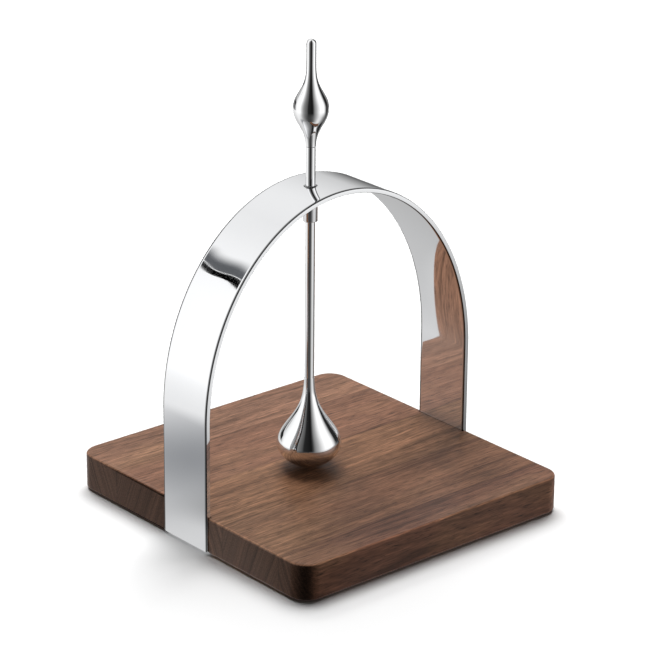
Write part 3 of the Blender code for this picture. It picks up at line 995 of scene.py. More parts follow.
@dataclass
class WalnutBoard:
    """The board, let in at both ends for the feet of the arch."""

    node: str = "base_board"
    corner_radius: float = 12 * MM
    arris: float = 1.2 * MM
    corner_steps: int = 24
    arris_steps: int = 6
    strip_thickness: float = 3.2 * MM
    slot_side_gap: float = 0.5 * MM
    fit_gap: float = 0.3 * MM
    foot_turn: float = 28 * MM
    insert_hole_radius: float = 3.8 * MM
    insert_hole_top: float = 14.5 * MM
    fixing_place: Point = (84 * MM, 11 * MM)
    pad_place: Point = (80 * MM, 86 * MM)
    pad_socket_radius: float = 7.3 * MM
    pad_socket_top: float = 3.1 * MM
    socket_sides: int = 48
    clear_out: float = 5 * MM

    def outline(self, half_x: float, half_y: float, inset: float) -> list[Point]:
        """Plan of the board, drawn in by an inset.

        Args:
            half_x: Half the board's length.
            half_y: Half its width.
            inset: How far inside the sides the plan lies.

        Returns:
            Points anticlockwise round the plan.
        """
        points = []
        for turn, (sign_x, sign_y) in enumerate([(1, 1), (-1, 1), (-1, -1), (1, -1)]):
            centre = (sign_x * (half_x - self.corner_radius), sign_y * (half_y - self.corner_radius))
            points += quarter(centre, self.corner_radius - inset, 90.0 * turn, self.corner_steps)
        return points

    def block(self) -> bmesh.types.BMesh:
        """The board before anything is cut from it, with its rounded arrises.

        Returns:
            The whole board.
        """
        low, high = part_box(self.node)
        levels = []
        for inset, height in quarter((self.arris, self.arris), self.arris, 180.0, self.arris_steps):
            levels.append((inset, low.z + height))
        levels = list(reversed(levels))
        levels += [(inset, low.z + high.z - height) for inset, height in reversed(levels)]
        solid = bmesh.new()
        rings = []
        for inset, height in levels:
            plan = self.outline(high.x, high.y, inset)
            rings.append([solid.verts.new((x, y, height)) for x, y in plan])
        for lower, upper in zip(rings, rings[1:]):
            count = len(lower)
            for i in range(count):
                solid.faces.new((lower[i], lower[(i + 1) % count], upper[(i + 1) % count], upper[i]))
        solid.faces.new(list(reversed(rings[0])))
        solid.faces.new(rings[-1])
        return solid

    def slots(self) -> bmesh.types.BMesh:
        """What is cut away at both ends for the legs and the feet.

        Returns:
            One mesh with both cutters.
        """
        low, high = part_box(self.node)
        strip_low, strip_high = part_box("arch_strip")
        wall = strip_high.x - self.strip_thickness - self.fit_gap
        recess_end = strip_high.x - self.foot_turn - self.fit_gap
        recess_top = strip_low.z + self.strip_thickness + self.fit_gap
        half_width = strip_high.y + self.slot_side_gap
        section = [
            (wall, high.z + self.clear_out),
            (wall, recess_top),
            (recess_end, recess_top),
            (recess_end, low.z - self.clear_out),
            (high.x + self.clear_out, low.z - self.clear_out),
            (high.x + self.clear_out, high.z + self.clear_out),
        ]
        solid = bmesh.new()
        for side in (-1, 1):
            near = [solid.verts.new((side * x, -half_width, z)) for x, z in section]
            far = [solid.verts.new((side * x, half_width, z)) for x, z in section]
            solid.faces.new(near)
            solid.faces.new(list(reversed(far)))
            for i in range(len(section)):
                j = (i + 1) % len(section)
                solid.faces.new((near[i], far[i], far[j], near[j]))
        return solid

    def sockets(self) -> list[bmesh.types.BMesh]:
        """Round recesses for the threaded inserts and the pads.

        Returns:
            A cutter for each recess.
        """
        low, _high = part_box(self.node)
        cutters = []
        for sign_x in (-1, 1):
            for sign_y in (-1, 1):
                insert = (sign_x * self.fixing_place[0], sign_y * self.fixing_place[1])
                pad = (sign_x * self.pad_place[0], sign_y * self.pad_place[1])
                for radius, top, centre in (
                    (self.insert_hole_radius, self.insert_hole_top, insert),
                    (self.pad_socket_radius, self.pad_socket_top, pad),
                ):
                    under = low.z - self.clear_out
                    section = [(0.0, under), (radius, under), (radius, top), (0.0, top)]
                    cutters.append(turned(section, self.socket_sides, centre))
        return cutters

    def build(self, finish: bpy.types.Material) -> bpy.types.Object:
        """Make the board.

        Args:
            finish: Its walnut.

        Returns:
            The board.
        """
        board = settle("walnut_board", self.block(), 40.0)
        carve(board, [self.slots(), *self.sockets()])
        dress(board, finish, Body.STAND, [self.node])
        return board


@dataclass
class SteelArch:
    """The polished strip, bent into an arch with its feet turned in."""

    node: str = "arch_strip"
    thickness: float = 3.2 * MM
    spring_height: float = 78.5 * MM
    foot_turn: float = 28 * MM
    foot_corner: float = 0.8 * MM
    edge_across: float = 2.0 * MM
    edge_depth: float = 0.6 * MM
    edge_steps: int = 8
    support: float = 0.2 * MM
    stations: int = 220
    leg_steps: int = 24
    width_steps: int = 16
    hole_radius: float = 3.5 * MM
    screw_hole_radius: float = 2.3 * MM
    countersink_radius: float = 4.3 * MM
    countersink_depth: float = 2.1 * MM
    cutter_overshoot: float = 1.5 * MM
    crown_hole_sides: int = 96
    foot_hole_sides: int = 48
    fixing_place: Point = (84 * MM, 11 * MM)

    def left_half(self) -> list[tuple[Vector, Vector]]:
        """Pairs of outer and inner points from the left foot's end to the crown.

        Returns:
            The pairs, as points in the plane of X and Z.
        """
        low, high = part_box(self.node)
        half_span = high.x
        foot_top = low.z + self.thickness
        inner_corner = Vector((-(half_span - self.thickness), foot_top))
        foot_end = -(half_span - self.foot_turn)
        pairs = []
        for step in range(self.leg_steps // 2 + 1):
            x = foot_end + (inner_corner.x - foot_end) * step / (self.leg_steps // 2)
            pairs.append((Vector((x, low.z)), Vector((x, foot_top))))
        centre = (-(half_span - self.foot_corner), low.z + self.foot_corner)
        bend = quarter(centre, self.foot_corner, 180.0, 6)
        pairs += [(Vector(point), inner_corner.copy()) for point in reversed(bend)]
        for step in range(self.leg_steps + 1):
            z = foot_top + (self.spring_height - foot_top) * step / self.leg_steps
            pairs.append((Vector((-half_span, z)), Vector((-half_span + self.thickness, z))))
        rise = high.z - self.spring_height
        half = self.stations // 2
        for step in range(1, half + 1):
            angle = 0.5 * math.pi * step / half
            outer = Vector((-half_span * math.cos(angle), self.spring_height + rise * math.sin(angle)))
            inward = Vector((math.cos(angle) / half_span, -math.sin(angle) / rise)).normalized()
            pairs.append((outer, outer + inward * self.thickness))
        return pairs

    def section(self) -> list[tuple[float, float, bool]]:
        """The strip's own section: (place across, depth from a face, outer face or not).

        Returns:
            Points in order round the section.
        """
        _low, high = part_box(self.node)
        half_width = high.y
        flat = half_width - self.edge_across
        across = [-flat, -flat + self.support]
        for step in range(1, self.width_steps):
            across.append(-flat + 2 * flat * step / self.width_steps)
        across += [flat - self.support, flat]
        ring = [(y, 0.0, True) for y in across]
        rounding = []
        for step in range(1, self.edge_steps + 1):
            turn = 0.5 * math.pi * step / self.edge_steps
            depth = self.edge_depth * (1 - math.cos(turn))
            rounding.append((flat + self.edge_across * math.sin(turn), depth))
        ring += [(y, depth, True) for y, depth in rounding]
        ring += [(y, depth, False) for y, depth in reversed(rounding)]
        ring += [(y, 0.0, False) for y in reversed(across)]
        ring += [(-y, depth, False) for y, depth in rounding]
        ring += [(-y, depth, True) for y, depth in reversed(rounding)]
        return ring

    def bar(self) -> bmesh.types.BMesh:
        """The bent bar before its holes are made.

        Returns:
            The bar.
        """
        left = self.left_half()
        right = []
        for outer, inner in reversed(left[:-1]):
            right.append((Vector((-outer.x, outer.y)), Vector((-inner.x, inner.y))))
        section = self.section()
        solid = bmesh.new()
        rings = []
        for outer, inner in left + right:
            inward = (inner - outer).normalized()
            ring = []
            for y, depth, on_outer in section:
                point = outer + inward * depth if on_outer else inner - inward * depth
                ring.append(solid.verts.new((point.x, y, point.y)))
            rings.append(ring)
        count = len(section)
        for first, second in zip(rings, rings[1:]):
            for i in range(count):
                j = (i + 1) % count
                corners = (first[i], first[j], second[j], second[i])
                solid.faces.new(corners)
        solid.faces.new(rings[0])
        solid.faces.new(list(reversed(rings[-1])))
        bmesh.ops.remove_doubles(solid, verts=solid.verts, dist=1e-7)
        bmesh.ops.dissolve_degenerate(solid, edges=solid.edges, dist=1e-7)
        return solid

    def holes(self) -> list[bmesh.types.BMesh]:
        """The hole in the crown and the countersunk holes in the feet.

        Returns:
            A cutter for each hole.
        """
        low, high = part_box(self.node)
        bush_low, bush_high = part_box("guide_bush")
        guide = ((bush_low.x + bush_high.x) / 2, (bush_low.y + bush_high.y) / 2)
        through = self.cutter_overshoot
        crown = [
            (0.0, bush_low.z),
            (self.hole_radius, bush_low.z),
            (self.hole_radius, high.z + through),
            (0.0, high.z + through),
        ]
        cutters = [turned(crown, self.crown_hole_sides, guide)]
        slope = (self.countersink_radius - self.screw_hole_radius) / self.countersink_depth
        seat = [
            (0.0, low.z - through),
            (self.countersink_radius + slope * through, low.z - through),
            (self.screw_hole_radius, low.z + self.countersink_depth),
            (self.screw_hole_radius, low.z + self.thickness + through),
            (0.0, low.z + self.thickness + through),
        ]
        for sign_x in (-1, 1):
            for sign_y in (-1, 1):
                place = (sign_x * self.fixing_place[0], sign_y * self.fixing_place[1])
                cutters.append(turned(seat, self.foot_hole_sides, place))
        return cutters

    def build(self, finish: bpy.types.Material) -> bpy.types.Object:
        """Make the arch.

        Args:
            finish: Its polished steel.

        Returns:
            The arch.
        """
        arch = settle("steel_arch", self.bar(), 32.0)
        carve(arch, self.holes())
        dress(arch, finish, Body.STAND, [self.node])
        return arch


@dataclass
class CrownGuide:
    """The bush under the crown and the liner that the rod runs in."""

    bush_node: str = "guide_bush"
    liner_node: str = "bush_liner"
    arch_spring: float = 78.5 * MM
    strip_thickness: float = 3.2 * MM
    fit_gap: float = 0.3 * MM
    lip_radius: float = 3.1 * MM
    lip_height: float = 1.0 * MM
    lip_chamfer: float = 0.15 * MM
    bush_overshoot: float = 5 * MM
    bore_radius: float = 3.75 * MM
    edge: float = 0.4 * MM
    liner_radius: float = 3.5 * MM
    liner_neck: float = 3.25 * MM
    liner_bore: float = 2.95 * MM
    liner_rim: float = 0.1 * MM
    sides: int = 96

    def crown_height(self, x: float, depth: float) -> float:
        """Height of the strip above x.

        Args:
            x: Place along the span.
            depth: 0 for the outer face, or how far inside it.

        Returns:
            The height.
        """
        _low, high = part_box("arch_strip")
        half_span = high.x - depth
        rise = high.z - self.arch_spring - depth
        return self.arch_spring + rise * math.sqrt(1 - (x / half_span) ** 2)

    def build_bush(self, finish: bpy.types.Material) -> bpy.types.Object:
        """Make the bush, its top cut to follow the bent strip.

        Args:
            finish: Its turned steel.

        Returns:
            The bush.
        """
        low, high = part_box(self.bush_node)
        centre = ((low.x + high.x) / 2, (low.y + high.y) / 2)
        radius = (high.x - low.x) / 2
        top = high.z + self.bush_overshoot
        rounding = quarter((radius - self.edge, low.z + self.edge), self.edge, 270.0, 6)
        section = [
            (self.lip_radius, low.z + self.lip_chamfer),
            (self.lip_radius + self.lip_chamfer, low.z),
            *rounding,
            (radius, top),
            (self.bore_radius, top),
            (self.bore_radius, low.z + self.lip_height),
            (self.lip_radius, low.z + self.lip_height),
        ]
        solid = turned(section, self.sides, centre)
        for vertex in solid.verts:
            if vertex.co.z > top - 1e-6:
                vertex.co.z = self.crown_height(vertex.co.x, self.strip_thickness) - self.fit_gap
        bush = settle("crown_bush", solid)
        dress(bush, finish, Body.STAND, [self.bush_node])
        return bush

    def build_liner(self, finish: bpy.types.Material) -> bpy.types.Object:
        """Make the liner, with a small rounded rim above the crown.

        Args:
            finish: Its polymer.

        Returns:
            The liner.
        """
        low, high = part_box(self.liner_node)
        centre = ((low.x + high.x) / 2, (low.y + high.y) / 2)
        shoulder = self.crown_height(centre[0] - self.liner_radius, self.strip_thickness) - self.fit_gap
        rim = self.liner_rim
        top = high.z
        section = [
            (self.liner_bore, low.z),
            (self.liner_radius, low.z),
            (self.liner_radius, shoulder),
            (self.liner_neck, shoulder),
            *quarter((self.liner_neck - rim, top - rim), rim, 0.0, 3),
            (self.liner_bore + rim, top),
            (self.liner_bore, top - rim),
        ]
        liner = settle("crown_liner", turned(section, self.sides, centre))
        dress(liner, finish, Body.LINER, [self.liner_node])
        return liner


@dataclass
class Plunger:
    """The sliding rod with its drop-shaped weight and spindle grip."""

    rod_radius: float = 2.85 * MM
    tapped_radius: float = 1.8 * MM
    tapped_depth: float = 6.3 * MM
    seam: float = 0.12 * MM
    drop_bowl: float = 15 * MM
    drop_spread: float = 19.2 * MM
    bowl_power: float = 1.8
    bowl_root: float = 0.588
    grip_spread: float = 12.3 * MM
    grip_power: float = 2.3
    grip_belly: float = 22.5 * MM
    belly_reach: float = 1.25
    drop_steps: int = 60
    grip_steps: int = 90
    tip_steps: int = 12
    sides: int = 160
    centre: Point = field(init=False)

    def __post_init__(self) -> None:
        """Take the axis from the rod's own place."""
        low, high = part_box("guide_rod")
        self.centre = ((low.x + high.x) / 2, (low.y + high.y) / 2)

    def drop_section(self) -> list[Point]:
        """Section of the weight, from its lowest point up to its neck.

        Returns:
            Points of (radius, height) in order round the section.
        """
        low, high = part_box("drop_weight")
        radius = (high.x - low.x) / 2
        swell = radius - self.rod_radius
        steps = self.drop_steps
        section = []
        for step in range(steps):
            share = 1 - math.cos(0.5 * math.pi * step / steps)
            reach = radius * (1 - (1 - share) ** self.bowl_power) ** self.bowl_root
            section.append((reach, low.z + share * self.drop_bowl))
        widest = low.z + self.drop_bowl
        for step in range(steps + 1):
            height = (high.z - widest) * step / steps
            section.append((self.rod_radius + swell * bell(height, self.drop_spread, 2.0), widest + height))
        section += [
            (self.tapped_radius, high.z),
            (self.tapped_radius, high.z - self.tapped_depth),
            (0.0, high.z - self.tapped_depth),
        ]
        return section

    def rod_section(self) -> list[Point]:
        """Section of the rod, with a tapped hole in each end.

        Returns:
            Points of (radius, height) in order round the section.
        """
        _low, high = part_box("guide_rod")
        _drop_low, drop_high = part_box("drop_weight")
        under = drop_high.z
        return [
            (0.0, under + self.tapped_depth),
            (self.tapped_radius, under + self.tapped_depth),
            (self.tapped_radius, under),
            (self.rod_radius, under),
            (self.rod_radius, high.z - self.seam),
            (self.rod_radius - self.seam, high.z),
            (self.tapped_radius, high.z),
            (self.tapped_radius, high.z - self.tapped_depth),
            (0.0, high.z - self.tapped_depth),
        ]

    def grip_section(self) -> list[Point]:
        """Section of the grip, from its foot up to its rounded tip.

        Returns:
            Points of (radius, height) in order round the section.
        """
        low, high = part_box("spindle_grip")
        radius = (high.x - low.x) / 2
        swell = radius - self.rod_radius
        belly = low.z + self.grip_belly
        bell_top = belly + self.belly_reach * self.grip_belly
        steps = self.grip_steps
        section = [
            (0.0, low.z + self.tapped_depth),
            (self.tapped_radius, low.z + self.tapped_depth),
            (self.tapped_radius, low.z),
            (self.rod_radius - self.seam, low.z),
        ]
        for step in range(steps + 1):
            z = low.z + self.seam + (bell_top - low.z - self.seam) * step / steps
            section.append((self.rod_radius + swell * bell(z - belly, self.grip_spread, self.grip_power), z))
        tip = quarter((0.0, high.z - self.rod_radius), self.rod_radius, 0.0, self.tip_steps)
        section += [*tip[:-1], (0.0, high.z)]
        return section

    def build(self, finish: bpy.types.Material) -> list[bpy.types.Object]:
        """Make the three turned pieces.

        Args:
            finish: Their polished steel.

        Returns:
            The weight, the rod and the grip.
        """
        pieces = []
        for name, node, section in (
            ("polished_drop", "drop_weight", self.drop_section()),
            ("polished_rod", "guide_rod", self.rod_section()),
            ("polished_grip", "spindle_grip", self.grip_section()),
        ):
            piece = settle(name, turned(section, self.sides, self.centre), 30.0)
            dress(piece, finish, Body.PLUNGER, [node])
            pieces.append(piece)
        return pieces


@dataclass
class HiddenFixings:
    """Studs, screws, inserts and pads, which keep their CAD shapes."""

    def dress_nodes(self, start: str, finish: bpy.types.Material) -> int:
        """Give every CAD node whose name starts in one way a finish.

        Args:
            start: How the names start.
            finish: The material.

        Returns:
            How many nodes were dressed.
        """
        count = 0
        for name, node in sorted(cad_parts.items()):
            if name.startswith(start):
                for place in node.material_slots:
                    place.material = finish
                count += 1
        log.info("%s: %d CAD nodes dressed with %s", start, count, finish.name)
        return count

    def build(self, zinc: bpy.types.Material, brass: bpy.types.Material, rubber: bpy.types.Material) -> None:
        """Dress them all.

        Args:
            zinc: For screws and studs.
            brass: For the threaded inserts.
            rubber: For the pads.
        """
        self.dress_nodes("fixing_screw", zinc)
        self.dress_nodes("lower_stud", zinc)
        self.dress_nodes("upper_stud", zinc)
        self.dress_nodes("threaded_insert", brass)
        self.dress_nodes("foot_pad", rubber)


# ------------------------------------------------------------------------ studio


def direction(azimuth: float, elevation: float) -> Vector:
    """A unit vector towards a place in the studio.

    Args:
        azimuth: Degrees, 0 towards -Y and 90 towards +X.
        elevation: Degrees above the table.

    Returns:
        The vector.
    """
    turn = math.radians(azimuth)
    lift = math.radians(elevation)
    return Vector((math.sin(turn) * math.cos(lift), -math.cos(turn) * math.cos(lift), math.sin(lift)))


def hung(centre: Vector, azimuth: float, elevation: float, distance: float) -> Matrix:
    """Where something hangs in the studio when it faces the middle.

    Args:
        centre: The middle.
        azimuth: Degrees, as for direction().
        elevation: Degrees above the table.
        distance: How far out it hangs.

    Returns:
        Its place, with X to the right and Z away from the middle.
    """
    towards = direction(azimuth, elevation)
    right = Vector((0.0, 0.0, 1.0)).cross(towards).normalized()
    axes = Matrix((right, towards.cross(right), towards)).transposed().to_4x4()
    return Matrix.Translation(centre + towards * distance) @ axes


@dataclass(frozen=True)
class StudioCamera:
    """The camera: a long lens, looking down on the holder from its left front."""

    azimuth: float = -40.495
    elevation: float = 21.458
    distance: float = 1833.943 * MM
    aim_right: float = 2.211 * MM
    aim_up: float = 104.728 * MM
    roll: float = 0.459
    focal_length: float = 171.33
    sensor: float = 36.0

    def build(self) -> bpy.types.Object:
        """Put the camera in the scene.

        Returns:
            The camera object.
        """
        back = direction(self.azimuth, self.elevation)
        right = Vector((0.0, 0.0, 1.0)).cross(back).normalized()
        up = back.cross(right)
        tilt = math.radians(self.roll)
        turned_right = right * math.cos(tilt) + up * math.sin(tilt)
        turned_up = up * math.cos(tilt) - right * math.sin(tilt)
        place = back * self.distance + turned_right * self.aim_right + turned_up * self.aim_up
        lens = bpy.data.cameras.new("studio_camera")
        lens.lens = self.focal_length
        lens.sensor_width = self.sensor
        lens.dof.use_dof = False
        lens.clip_start = 0.05
        lens.clip_end = 60.0
        camera = bpy.data.objects.new("studio_camera", lens)
        bpy.context.scene.collection.objects.link(camera)
        axes = Matrix((turned_right, turned_up, back)).transposed()
        camera.matrix_world = Matrix.Translation(place) @ axes.to_4x4()
        bpy.context.scene.camera = camera
        log.info("camera at %s", tuple(round(value, 3) for value in place))
        return camera


@dataclass(frozen=True)
class TentCloth:
    """White cloth all round, lit from both sides and left dark towards the camera.

    Each stop is (azimuth in degrees, brightness).
    """

    around: tuple[Point, ...] = (
        (-180, 0.86), (-165, 0.92), (-152, 1.00), (-140, 1.10), (-112, 1.15), (-100, 0.62),
        (-88, 0.30), (-76, 0.17), (-64, 0.09), (-58, 0.02), (-31, 0.008), (-25, 0.05),
        (-17, 0.24), (-4, 0.48), (8, 0.82), (20, 1.12), (48, 1.15), (58, 0.75), (66, 0.22),
        (74, 0.03), (90, 0.03), (100, 0.25), (112, 0.70), (135, 0.85), (160, 0.86), (180, 0.86),
    )
    upward: tuple[Point, ...] = (
        (-30, 0.55), (-14, 0.30), (-6, 0.16), (3, 0.42), (12, 0.75), (25, 0.90), (38, 1.05), (60, 1.10),
    )
    back_azimuth: float = 155.0

    def build(self) -> bpy.types.Material:
        """Write out the cloth.

        Returns:
            The material.
        """
        material = empty_material("tent_cloth")
        nodes = material.node_tree.nodes
        links = material.node_tree.links
        place = nodes.new("ShaderNodeTexCoord")
        place.label = "place on the tent"
        towards = nodes.new("ShaderNodeVectorMath")
        towards.label = "direction from the middle"
        towards.operation = "NORMALIZE"
        split = nodes.new("ShaderNodeSeparateXYZ")
        split.label = "right, back and up"
        front = nodes.new("ShaderNodeMath")
        front.label = "towards the front"
        front.operation = "MULTIPLY"
        front.inputs[1].default_value = -1.0
        azimuth = nodes.new("ShaderNodeMath")
        azimuth.label = "azimuth"
        azimuth.operation = "ARCTAN2"
        share = nodes.new("ShaderNodeMapRange")
        share.label = "share of a turn"
        share.inputs["From Min"].default_value = -math.pi
        share.inputs["From Max"].default_value = math.pi
        around = nodes.new("ShaderNodeValToRGB")
        around.label = "brightness round the tent"
        fill_ramp(around.color_ramp, self.around, -180.0, 180.0)
        height = nodes.new("ShaderNodeMapRange")
        height.label = "height on the tent"
        height.inputs["From Min"].default_value = -1.0
        upward = nodes.new("ShaderNodeValToRGB")
        upward.label = "dim low down at the back"
        sines = [(math.sin(math.radians(lift)), glow) for lift, glow in self.upward]
        fill_ramp(upward.color_ramp, sines, -1.0, 1.0)
        behind = nodes.new("ShaderNodeVectorMath")
        behind.label = "how far round the back"
        behind.operation = "DOT_PRODUCT"
        behind.inputs[1].default_value = direction(self.back_azimuth, 0.0)
        at_back = nodes.new("ShaderNodeMapRange")
        at_back.label = "back of the tent"
        at_back.interpolation_type = "SMOOTHSTEP"
        at_back.inputs["From Min"].default_value = 0.50
        at_back.inputs["From Max"].default_value = 0.76
        dimmed = nodes.new("ShaderNodeMix")
        dimmed.label = "dim only at the back"
        dimmed.inputs["A"].default_value = 1.0
        bright = nodes.new("ShaderNodeMath")
        bright.label = "brightness"
        bright.operation = "MULTIPLY"
        glow = nodes.new("ShaderNodeEmission")
        glow.label = "lit cloth"
        output = nodes.new("ShaderNodeOutputMaterial")
        output.label = "tent"
        links.new(place.outputs["Object"], towards.inputs[0])
        links.new(towards.outputs[0], split.inputs[0])
        links.new(split.outputs["Y"], front.inputs[0])
        links.new(split.outputs["X"], azimuth.inputs[0])
        links.new(front.outputs[0], azimuth.inputs[1])
        links.new(azimuth.outputs[0], share.inputs["Value"])
        links.new(share.outputs["Result"], around.inputs["Fac"])
        links.new(split.outputs["Z"], height.inputs["Value"])
        links.new(height.outputs["Result"], upward.inputs["Fac"])
        links.new(towards.outputs[0], behind.inputs[0])
        links.new(behind.outputs["Value"], at_back.inputs["Value"])
        links.new(at_back.outputs["Result"], dimmed.inputs["Factor"])
        links.new(upward.outputs["Color"], dimmed.inputs["B"])
        links.new(around.outputs["Color"], bright.inputs[0])
        links.new(dimmed.outputs["Result"], bright.inputs[1])
        links.new(bright.outputs[0], glow.inputs["Strength"])
        links.new(glow.outputs["Emission"], output.inputs["Surface"])
        groups = {
            "Where on the tent": [place, towards, split, front, azimuth, share, height, behind],
            "Brightness": [around, upward, at_back, dimmed, bright],
            "Cloth": [glow, output],
        }
        lay_out(nodes, groups)
        return material


@dataclass(frozen=True)
class TableTop:
    """The table as the steel sees it, greyer than the white floor.

    Each stop is (azimuth in degrees, brightness).
    """

    near: tuple[Point, ...] = (
        (-180, 0.62), (-160, 0.75), (-140, 0.92), (-122, 0.88), (-112, 0.72), (-100, 0.42),
        (-88, 0.24), (-76, 0.12), (-62, 0.055), (-42, 0.05), (-27, 0.11), (-14, 0.28),
        (-3, 0.48), (8, 0.70), (18, 0.85), (34, 0.75), (46, 0.48), (58, 0.28), (70, 0.16),
        (84, 0.08), (98, 0.18), (118, 0.42), (150, 0.55), (180, 0.62),
    )
    tent: TentCloth = TentCloth()
    base_glow: float = 0.70
    base_reach: Point = (0.118, 0.150)
    far_reach: Point = (0.33, 0.80)
    shade_place: tuple[float, float, float] = (-0.177, 0.100, 0.0)
    shade_reach: float = 0.125
    shade_depth: float = 0.66

    def build(self) -> bpy.types.Material:
        """Write out the table top.

        Returns:
            The material.
        """
        material = empty_material("table_top")
        nodes = material.node_tree.nodes
        links = material.node_tree.links
        place = nodes.new("ShaderNodeTexCoord")
        place.label = "place on the table"
        split = nodes.new("ShaderNodeSeparateXYZ")
        split.label = "right and back"
        front = nodes.new("ShaderNodeMath")
        front.label = "towards the front"
        front.operation = "MULTIPLY"
        front.inputs[1].default_value = -1.0
        azimuth = nodes.new("ShaderNodeMath")
        azimuth.label = "azimuth"
        azimuth.operation = "ARCTAN2"
        share = nodes.new("ShaderNodeMapRange")
        share.label = "share of a turn"
        share.inputs["From Min"].default_value = -math.pi
        share.inputs["From Max"].default_value = math.pi
        near = nodes.new("ShaderNodeValToRGB")
        near.label = "brightness round the table"
        fill_ramp(near.color_ramp, self.near, -180.0, 180.0)
        far = nodes.new("ShaderNodeValToRGB")
        far.label = "brightness far out"
        fill_ramp(far.color_ramp, self.tent.around, -180.0, 180.0)
        radius = nodes.new("ShaderNodeVectorMath")
        radius.label = "distance out"
        radius.operation = "LENGTH"
        far_share = nodes.new("ShaderNodeMapRange")
        far_share.label = "far out"
        far_share.inputs["From Min"].default_value = self.far_reach[0]
        far_share.inputs["From Max"].default_value = self.far_reach[1]
        base_share = nodes.new("ShaderNodeMapRange")
        base_share.label = "out from the base"
        base_share.interpolation_type = "SMOOTHSTEP"
        base_share.inputs["From Min"].default_value = self.base_reach[0]
        base_share.inputs["From Max"].default_value = self.base_reach[1]
        outward = nodes.new("ShaderNodeMix")
        outward.label = "near to far"
        outward.data_type = "RGBA"
        based = nodes.new("ShaderNodeMix")
        based.label = "even light close to the base"
        based.data_type = "RGBA"
        based.inputs["A"].default_value = (self.base_glow, self.base_glow, self.base_glow, 1.0)
        shade_gap = nodes.new("ShaderNodeVectorMath")
        shade_gap.label = "distance from the soft shadow"
        shade_gap.operation = "DISTANCE"
        shade_gap.inputs[1].default_value = self.shade_place
        shade = nodes.new("ShaderNodeMapRange")
        shade.label = "soft shadow behind the left leg"
        shade.interpolation_type = "SMOOTHSTEP"
        shade.inputs["From Max"].default_value = self.shade_reach
        shade.inputs["To Min"].default_value = self.shade_depth
        shade.inputs["To Max"].default_value = 0.0
        shaded = nodes.new("ShaderNodeMix")
        shaded.label = "cool grey shadow"
        shaded.data_type = "RGBA"
        shaded.inputs["B"].default_value = (0.045, 0.055, 0.075, 1.0)
        glow = nodes.new("ShaderNodeEmission")
        glow.label = "lit table"
        output = nodes.new("ShaderNodeOutputMaterial")
        output.label = "table"
        links.new(place.outputs["Object"], split.inputs[0])
        links.new(split.outputs["Y"], front.inputs[0])
        links.new(split.outputs["X"], azimuth.inputs[0])
        links.new(front.outputs[0], azimuth.inputs[1])
        links.new(azimuth.outputs[0], share.inputs["Value"])
        links.new(share.outputs["Result"], near.inputs["Fac"])
        links.new(share.outputs["Result"], far.inputs["Fac"])
        links.new(place.outputs["Object"], radius.inputs[0])
        links.new(radius.outputs["Value"], far_share.inputs["Value"])
        links.new(radius.outputs["Value"], base_share.inputs["Value"])
        links.new(far_share.outputs["Result"], outward.inputs["Factor"])
        links.new(near.outputs["Color"], outward.inputs["A"])
        links.new(far.outputs["Color"], outward.inputs["B"])
        links.new(base_share.outputs["Result"], based.inputs["Factor"])
        links.new(outward.outputs["Result"], based.inputs["B"])
        links.new(place.outputs["Object"], shade_gap.inputs[0])
        links.new(shade_gap.outputs["Value"], shade.inputs["Value"])
        links.new(shade.outputs["Result"], shaded.inputs["Factor"])
        links.new(based.outputs["Result"], shaded.inputs["A"])
        links.new(shaded.outputs["Result"], glow.inputs["Color"])
        links.new(glow.outputs["Emission"], output.inputs["Surface"])
        groups = {
            "Where on the table": [place, split, front, azimuth, share, radius],
            "Brightness": [near, far, far_share, outward, base_share, based],
            "Shadow": [shade_gap, shade, shaded],
            "Table": [glow, output],
        }
        lay_out(nodes, groups)
        return material


@dataclass(frozen=True)
class ReflectorCard:
    """A card that only shows in the polished steel; angles are in degrees."""

    name: str
    azimuth: float
    elevation: float
    width: float
    height: float
    shade: float
    soft_sides: float
    soft_ends: float
    distance: float


CARDS = (
    ReflectorCard("left_grey", -173.0, 21.0, 24.0, 24.0, 0.36, 0.4, 0.4, 2.6),
    ReflectorCard("left_flag", -169.0, 2.5, 22.0, 10.0, 0.02, 0.15, 0.25, 2.5),
    ReflectorCard("right_flag", 80.0, 11.0, 26.0, 24.0, 0.02, 0.15, 0.25, 2.5),
)


@dataclass(frozen=True)
class Softbox:
    """A soft light: where it hangs, its size in metres and its power in watts."""

    name: str
    azimuth: float
    elevation: float
    distance: float
    width: float
    height: float
    power: float
    for_floor: bool


SOFTBOXES = (
    Softbox("floor_softbox", 145.0, 64.0, 3.0, 2.6, 2.6, 172.0, True),
    Softbox("back_softbox", 148.0, 68.0, 3.0, 2.1, 2.1, 168.0, False),
    Softbox("left_softbox", -137.0, -3.2, 1.5, 0.5, 0.14, 17.5, False),
    Softbox("right_softbox", 55.0, -3.2, 1.5, 0.5, 0.14, 23.0, False),
)


